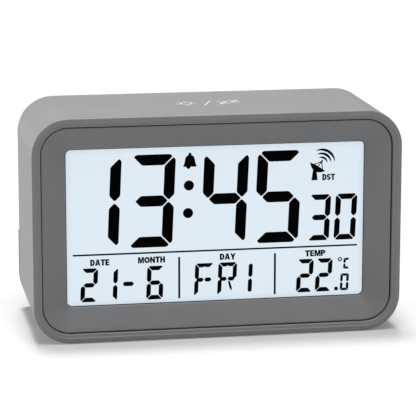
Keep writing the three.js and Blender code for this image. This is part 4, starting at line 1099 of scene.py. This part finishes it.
class CLOCK_OT_top_signs(bpy.types.Operator):
    """Print the lamp, stroke and snooze signs on the touch field"""

    bl_idname = "clock.top_signs"
    bl_label = "Top signs"

    def execute(self, context):
        lamp, half = Vector((-7.7, -2.6)), 0.25
        bm = bmesh.new()
        arc_band(bm, lamp, 1.8, 2.3, 0, 30, -58, 296)
        for reach, drop in ((1.15, 2.5), (0.8, 3.4)):
            polygon(bm, bar(lamp - Vector((reach, drop)), lamp + Vector((reach, -drop)), half), 0)
        for degrees in (-28, 12, 51, 90, 129, 168, 208):
            polygon(bm, bar(lamp + towards(degrees) * 2.9, lamp + towards(degrees) * 3.9, half), 0)
        polygon(bm, [(-1.7, -7.2), (-1.2, -7.2), (2.4, 2.4), (1.9, 2.4)], 0)
        thick, slope = 0.62, 0.9
        for left, foot, wide, tall in ((4.15, -5.9, 4.1, 5.6), (8.85, -2.9, 3.5, 4.6)):
            zed = [(0, 0), (wide, 0), (wide, thick), (slope, thick), (wide, tall - thick), (wide, tall),
                   (0, tall), (0, tall - thick), (wide - slope, tall - thick), (0, thick)]
            polygon(bm, [(left + u, foot + v) for u, v in zed], 0)
        lay = Matrix.Translation((0, 0, HIGH.z + PRINT_GAP)) @ Matrix.Rotation(-math.pi / 2, 4, "X")
        add_print("top_signs", bm, context.scene.clock.case, lay)
        return {"FINISHED"}


# Rear

class CLOCK_OT_rear_housing(bpy.types.Operator):
    """Make the rear moulding with its battery block"""

    bl_idname = "clock.rear_housing"
    bl_label = "Rear housing"

    def execute(self, context):
        rear = context.scene.clock.rear
        bm = softened_copy("rear_housing", rear.sharp, rear.edge)
        add_piece("rear_moulding", bm, finish_of("rear_plastic", rear.plastic),
                  ["rear_housing"])
        return {"FINISHED"}


class CLOCK_OT_rear_signs(bpy.types.Operator):
    """Print the signs over the rear buttons and the words beside the alarm switch"""

    bl_idname = "clock.rear_signs"
    bl_label = "Rear signs"

    def execute(self, context):
        rise, panel_recess = 3.2, 0.3 * MM
        y = panel_recess - HIGH.y - PRINT_GAP
        places = []
        for number in range(5, 0, -1):
            middle, half = middle_and_half(f"rear_button_{number}")
            places.append(Vector((-middle.x / MM, (middle.z + half.z) / MM + rise)))
        clock, bell, more, less, waves = places

        bm = bmesh.new()
        arc_band(bm, clock, 1.4, 1.75, y, 28)
        thin, long, short = 0.17, 1.1, 0.9
        hands = [(-thin, -thin), (short, -thin), (short, thin), (thin, thin), (thin, long), (-thin, long)]
        polygon(bm, [clock + Vector(point) for point in hands], y)
        add_bell(bm, bell, 0.75, y)
        arm, thick = Vector((1.5, 0)), 0.28
        polygon(bm, cross(*more, arm.x, thick), y)
        polygon(bm, bar(less - arm, less + arm, thick), y)
        mast = waves - Vector((0, 1.4))
        disc(bm, mast, 0.42, y)
        for radius in (1.15, 2.0, 2.85):
            arc_band(bm, mast, radius - 0.19, radius + 0.19, y, 12, 45, 90)

        knob, half = middle_and_half("alarm_switch_knob")
        travel, gap, off, on, tall = 4.0, 2.2, 5.2, 3.8, 2.1
        x, reach, z = -knob.x / MM, half.x / MM, knob.z / MM
        add_word(bm, "OFF", x + reach + gap + off / 2, z, off, tall, y)
        add_word(bm, "ON", x - reach - travel - gap - on / 2, z, on, tall, y)
        add_print("rear_signs", bm, context.scene.clock.case, Matrix.Rotation(math.pi, 4, "Z"))
        return {"FINISHED"}


class CLOCK_OT_door(bpy.types.Operator):
    """Make the battery door with the lines of its grip"""

    bl_idname = "clock.door"
    bl_label = "Battery door"

    def execute(self, context):
        rear = context.scene.clock.rear
        _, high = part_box("battery_door")
        line, root, edge = 0.22 * MM, 0.3 * MM, 0.16 * MM
        bm = softened_copy("battery_door", rear.sharp, rear.edge)
        for drop, half in ((4.2, 9.0), (5.3, 7.4), (6.4, 5.8), (7.5, 4.2)):
            x, z = half * MM, high.z - drop * MM
            block(bm, (-x, high.y - root, z - line), (x, high.y + line, z + line), edge)
        add_piece("door", bm, finish_of("rear_plastic", rear.plastic), ["battery_door"], "door")
        return {"FINISHED"}


class CLOCK_OT_buttons(bpy.types.Operator):
    """Make the five rear buttons"""

    bl_idname = "clock.buttons"
    bl_label = "Rear buttons"

    def execute(self, context):
        rear = context.scene.clock.rear
        corner, lip, step, slope, crown_edge = 2.8 * MM, 1.0 * MM, 1.0 * MM, 1.3 * MM, 0.3 * MM
        for number in range(1, 6):
            node = f"rear_button_{number}"
            low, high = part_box(node)
            size, middle = high - low, (low + high) / 2
            flange = (size.x, size.z, corner)
            cap = (size.x - 2 * lip, size.z - 2 * lip, corner)
            crown = (cap[0] - 2 * slope, cap[1] - 2 * slope, corner - slope)
            bm = bmesh.new()
            skin(bm, [Row(flange, low.y), Row(flange, low.y + step), Row(cap, low.y + step),
                      Row(cap, high.y - rear.button_crown, rear.button_edge), Row(crown, high.y, crown_edge)],
                 10, (middle.x, middle.z), closed=False)
            add_piece(f"button_cap_{number}", bm, finish_of("button_plastic", rear.button_plastic),
                      [node], f"button_{number}")
        return {"FINISHED"}


class CLOCK_OT_knob(bpy.types.Operator):
    """Make the alarm switch's knob and finish its body"""

    bl_idname = "clock.knob"
    bl_label = "Alarm switch"

    def execute(self, context):
        edge = 0.12 * MM
        bm = softened_copy("alarm_switch_knob", context.scene.clock.rear.sharp, edge)
        add_piece("switch_knob", bm, finish_of("knob_plastic"), ["alarm_switch_knob"],
                  "alarm_knob")
        dress(finish_of("switch_steel"), "alarm_switch")
        return {"FINISHED"}


class CLOCK_OT_feet(bpy.types.Operator):
    """Make the four rubber feet"""

    bl_idname = "clock.feet"
    bl_label = "Rubber feet"

    def execute(self, context):
        tread = ((0.0, 0.25), (0.1, 0.08), (0.3, 0.0), (1.0, 0.0), (1.3, 0.2))
        for number in range(1, 5):
            node = f"rubber_foot_{number}"
            middle, half = middle_and_half(node)
            radius, rise = half.x, 2 * half.z
            profile = [(0, rise), (radius, rise), *((radius - inset * MM, z * MM) for inset, z in tread),
                       (0, tread[-1][1] * MM)]
            bm = bmesh.new()
            turned(bm, profile, middle - Vector((0, 0, half.z)), 40, "Z")
            add_piece(f"foot_{number}", bm, finish_of("foot_rubber"), [node])
        return {"FINISHED"}


def cross_recess(bm, edges, place, reach, half, depth):
    """Closes the round end of a screw's head with a tapered cross.
    The cross is bridged from well behind, as the loops of a skin are."""
    apart = Vector((0, 1, 0))
    face = polygon(bm, cross(place.x / MM, place.z / MM, reach, half), place.y + apart.y)
    bmesh.ops.bridge_loops(bm, edges=edges + list(face.edges))
    bmesh.ops.translate(bm, vec=-apart, verts=face.verts)
    floor = verts_of(bmesh.ops.extrude_face_region(bm, geom=[face]))
    bmesh.ops.delete(bm, geom=[face], context="FACES_ONLY")
    bmesh.ops.translate(bm, vec=(0, -depth, 0), verts=floor)
    bmesh.ops.scale(bm, vec=(0.5, 1, 0.5), space=Matrix.Translation(-place), verts=floor)
    bmesh.ops.recalc_face_normals(bm, faces=bm.faces)


class CLOCK_OT_screws(bpy.types.Operator):
    """Make the case screws and finish the board screws"""

    bl_idname = "clock.screws"
    bl_label = "Screws"

    def execute(self, context):
        rear = context.scene.clock.rear
        rise, shank = 1.8 * MM, 1.3 * MM
        reach, arm, depth = 1.4, 0.3, 1.1 * MM
        for number in range(1, 5):
            node = f"case_screw_{number}"
            middle, half = middle_and_half(node)
            head, seat, end = half.x, 2 * half.y - rise, Vector((0, half.y, 0))
            bm = bmesh.new()
            turned(bm, [(0, 0), (shank / 2, 0), (shank, shank), (shank, seat), (head, seat),
                        (head, seat + rise / 2), (head - rise / 2, seat + rise)], middle - end, 32)
            soften(bm, rear.sharp, rear.fine_edge)
            rim = [edge for edge in bm.edges if edge.is_boundary]
            cross_recess(bm, rim, middle + end, reach, arm, depth)
            add_piece(f"screw_{number}", bm, finish_of("screw_steel"), [node])
        dress(finish_of("screw_steel"), "board_screw_left", "board_screw_right")
        return {"FINISHED"}


# Inside

class CLOCK_OT_cells(bpy.types.Operator):
    """Make the two cells, which lie in opposite directions"""

    bl_idname = "clock.cells"
    bl_label = "Cells"

    def execute(self, context):
        rear = context.scene.clock.rear
        for place, side in (("upper", -1), ("lower", 1)):
            node = f"cell_{place}"
            middle, half = middle_and_half(node)
            end, wall = half.x / MM, half.z / MM
            profile = [(0, -end), (wall - 1.6, -end), (wall - 1.3, 0.15 - end), (wall - 0.4, -end),
                       (wall, 0.4 - end), (wall, end - 1.5), (wall - 0.4, end - 1.1), (2.3, end - 1.0),
                       (1.9, end - 0.8), (1.9, end - 0.2), (1.7, end), (0, end)]
            bm = bmesh.new()
            turned(bm, [(radius * MM, side * reach * MM) for radius, reach in profile], middle, 56, "X")
            add_piece(f"aaa_{place}", bm, finish_of(f"cell_film_{place}", rear.sleeve_colour, rear.band_colour),
                      [node])
        return {"FINISHED"}


class CLOCK_OT_springs(bpy.types.Operator):
    """Wind the two battery springs"""

    bl_idname = "clock.springs"
    bl_label = "Springs"

    def execute(self, context):
        wire, radii, turns, per_turn = 0.3 * MM, (3.6 * MM, 2.4 * MM), 3.5, 40
        for place, side in (("upper", 1), ("lower", -1)):
            node = f"battery_spring_{place}"
            middle, half = middle_and_half(node)
            reach = side * (half.x - wire)
            bm = bmesh.new()
            add_tube(bm, helix(middle, radii, (middle.x + reach, middle.x - reach), turns, per_turn), wire)
            add_piece(f"spring_{place}", bm, finish_of("spring_steel"), [node])
        return {"FINISHED"}


def ring(bore, outer, start, end):
    """The closed profile of a ring, to be turned."""
    return [(bore, start), (outer, start), (outer, end), (bore, end), (bore, start)]


class CLOCK_OT_aerial(bpy.types.Operator):
    """Wind the aerial's coil and make the ends of its bobbin"""

    bl_idname = "clock.aerial"
    bl_label = "Aerial"

    def execute(self, context):
        rear = context.scene.clock.rear
        middle, half = middle_and_half("antenna_coil")
        end, outer = half.x, half.z
        bore, inner = outer - 1.85 * MM, end - 1.2 * MM
        wire, waist = 0.17 * MM, outer - 0.8 * MM
        bm = bmesh.new()
        for side in (-1, 1):
            turned(bm, ring(bore, outer, side * inner, side * end), middle, 48, "X")
        soften(bm, rear.sharp, rear.fine_edge)
        add_piece("aerial_bobbin", bm, finish_of("white_plastic"))

        reach, core = inner - wire, waist - 1.2 * wire
        winding = helix(middle, (waist - wire,) * 2, (middle.x - reach, middle.x + reach), reach / wire, 28)
        bm = bmesh.new()
        add_tube(bm, winding, wire, 1)
        turned(bm, ring(bore, core, -inner, inner), middle, 48, "X")
        add_piece("aerial_coil", bm, finish_of("coil_copper"), ["antenna_coil"], smooth=60)
        dress(finish_of("ferrite"), "ferrite_rod")
        return {"FINISHED"}


class CLOCK_OT_leads(bpy.types.Operator):
    """Lay the battery leads, the touch field's lead and the flat cable"""

    bl_idname = "clock.leads"
    bl_label = "Leads"

    def execute(self, context):
        lead = 0.6 * MM

        def battery_route(z):
            return [(-25.0, 11.7, z), (-25.0, 6.7, z), (-28.2, -1.25, z + 1), (-31.35, -9.2, z + 8),
                    (-31.35, -13.65, z + 8)]

        touch_route = [
            (0, 1.75, 79.55), (0, -2.25, 79.1), (0, -8.25, 76.2), (0, -12.0, 72.1), (0, -12.95, 67.7)]
        for name, slot, route in (
                ("positive_lead", "lead_red", battery_route(21.25)),
                ("negative_lead", "lead_black", battery_route(10.35)),
                ("touch_lead", "lead_black", touch_route)):
            bm = bmesh.new()
            add_tube(bm, smooth_route(route), lead)
            add_piece(f"{name}_wire", bm, finish_of(slot), [name])

        wires, wire, pitch, middle_x, web_thick = 8, 0.4 * MM, 1.25 * MM, 8.5 * MM, 0.25 * MM
        route = smooth_route([
            (0, -13.65, 58.6), (0, -9.2, 58.3), (0, 0.65, 55.1), (0, 10.5, 58.3), (0, 14.85, 58.6)])
        bm = bmesh.new()
        for number in range(wires):
            aside = Vector((middle_x + (number - (wires - 1) / 2) * pitch, 0, 0))
            add_tube(bm, [place + aside for place in route], wire)
        half = wires * pitch / 2 - wire
        ends = [Vector((middle_x + side * half, 0, 0)) for side in (-1, 1)]
        edge = bm.edges.new([bm.verts.new(route[0] + end) for end in ends])
        web = []
        for first, second in zip(route, route[1:]):
            made = bmesh.ops.extrude_edge_only(bm, edges=[edge])
            moved = verts_of(made)
            bmesh.ops.translate(bm, vec=second - first, verts=moved)
            edge = bm.edges.get(moved)
            web += [item for item in made["geom"] if isinstance(item, bmesh.types.BMFace)]
        bmesh.ops.recalc_face_normals(bm, faces=web)
        bmesh.ops.solidify(bm, geom=web, thickness=web_thick)
        first_wire = middle_x + half - pitch / 2
        add_piece("flat_cable", bm, finish_of("ribbon_grey", first_wire), ["ribbon_cable"],
                  smooth=50)
        return {"FINISHED"}


class CLOCK_OT_inside(bpy.types.Operator):
    """Finish the boards, the sounder and the contacts"""

    bl_idname = "clock.inside"
    bl_label = "Inside"

    def execute(self, context):
        for name, nodes in (
                ("contact_steel", ("positive_contact", "negative_contact", "link_contact", "quartz_crystal")),
                ("circuit_board", ("main_board", "receiver_board", "button_board", "backlight_board")),
                ("chip_resin", ("clock_chip", "thermistor")),
                ("switch_resin", [f"tact_switch_{number}" for number in range(1, 6)]),
                ("contact_rubber", ["contact_strip"]), ("foil_copper", ["touch_electrode"]),
                ("brass_sheet", ["buzzer_plate"]), ("piezo_ceramic", ["buzzer_ceramic"])):
            dress(finish_of(name), *nodes)
        return {"FINISHED"}


# Stage

class CLOCK_OT_stage(bpy.types.Operator):
    """Set the floor, the lights and the camera"""

    bl_idname = "clock.stage"
    bl_label = "Stage"

    def execute(self, context):
        scene = context.scene
        stage = scene.clock.stage

        def place(name, data):
            thing = bpy.data.objects.new(name, data)
            scene.collection.objects.link(thing)
            return thing

        bm = bmesh.new()
        bmesh.ops.create_grid(bm, x_segments=8, y_segments=8, size=stage.floor_size / 2,
                              matrix=Matrix.Translation((0, 0, stage.floor_height)))
        mesh = bpy.data.meshes.new("floor")
        bm.to_mesh(mesh)
        bm.free()
        mesh.materials.append(finish_of("floor_paper", stage.floor_colour, stage.floor_glow))
        floor = place("floor", mesh)

        for name, heading, power, spread in (
                ("overhead_light", (0.0, -0.3, 1.0), stage.overhead, 26),
                ("rear_light", (-0.02, 0.17, 1.0), stage.rear, 13),
                ("side_light", (-0.86, 0.50, 0.1), stage.side, 30)):
            light = bpy.data.lights.new(name, "SUN")
            light.energy = power
            light.angle = math.radians(spread)
            place(name, light).rotation_euler = Vector(heading).to_track_quat("Z", "Y").to_euler()
        world = bpy.data.worlds.new("studio")
        world.use_nodes = True
        sky = world.node_tree.nodes["Background"].inputs
        sky["Color"].default_value = (1, 1, 1, 1)
        sky["Strength"].default_value = stage.sky
        scene.world = world
        scene.view_settings.view_transform = "Standard"

        camera = bpy.data.cameras.new("camera")
        camera.lens = stage.lens
        camera.sensor_width = 36
        camera.clip_start = 0.01
        eye = place("camera", camera)
        eye.location = stage.eye
        eye.rotation_euler = (math.pi / 2 - stage.pitch, 0, -stage.turn)
        scene.camera = eye
        return {"FINISHED"}


OPERATORS = (
    CLOCK_OT_sleeve, CLOCK_OT_fascia, CLOCK_OT_display_film, CLOCK_OT_digits, CLOCK_OT_rules, CLOCK_OT_signs,
    CLOCK_OT_top_signs, CLOCK_OT_rear_housing, CLOCK_OT_rear_signs, CLOCK_OT_door, CLOCK_OT_buttons,
    CLOCK_OT_knob, CLOCK_OT_feet, CLOCK_OT_screws, CLOCK_OT_cells, CLOCK_OT_springs, CLOCK_OT_aerial,
    CLOCK_OT_leads, CLOCK_OT_inside, CLOCK_OT_stage,
)


class CLOCK_PT_panel(bpy.types.Panel):
    """Lists the clock's pieces"""

    bl_idname = "CLOCK_PT_panel"
    bl_label = "Alarm clock"
    bl_space_type = "VIEW_3D"
    bl_region_type = "UI"
    bl_category = "Clock"

    def draw(self, context):
        for operator in OPERATORS:
            self.layout.operator(operator.bl_idname)


CLASSES = (
    CaseSettings, DisplaySettings, RearSettings, StageSettings, ClockSettings, *OPERATORS, CLOCK_PT_panel)


def register():
    for item in CLASSES:
        bpy.utils.register_class(item)
    bpy.types.Scene.clock = PointerProperty(type=ClockSettings)


def unregister():
    del bpy.types.Scene.clock
    for item in reversed(CLASSES):
        bpy.utils.unregister_class(item)


def main():
    register()
    for operator in OPERATORS:
        group, name = operator.bl_idname.split(".")
        getattr(getattr(bpy.ops, group), name)()


if __name__ == "__main__":
    main()
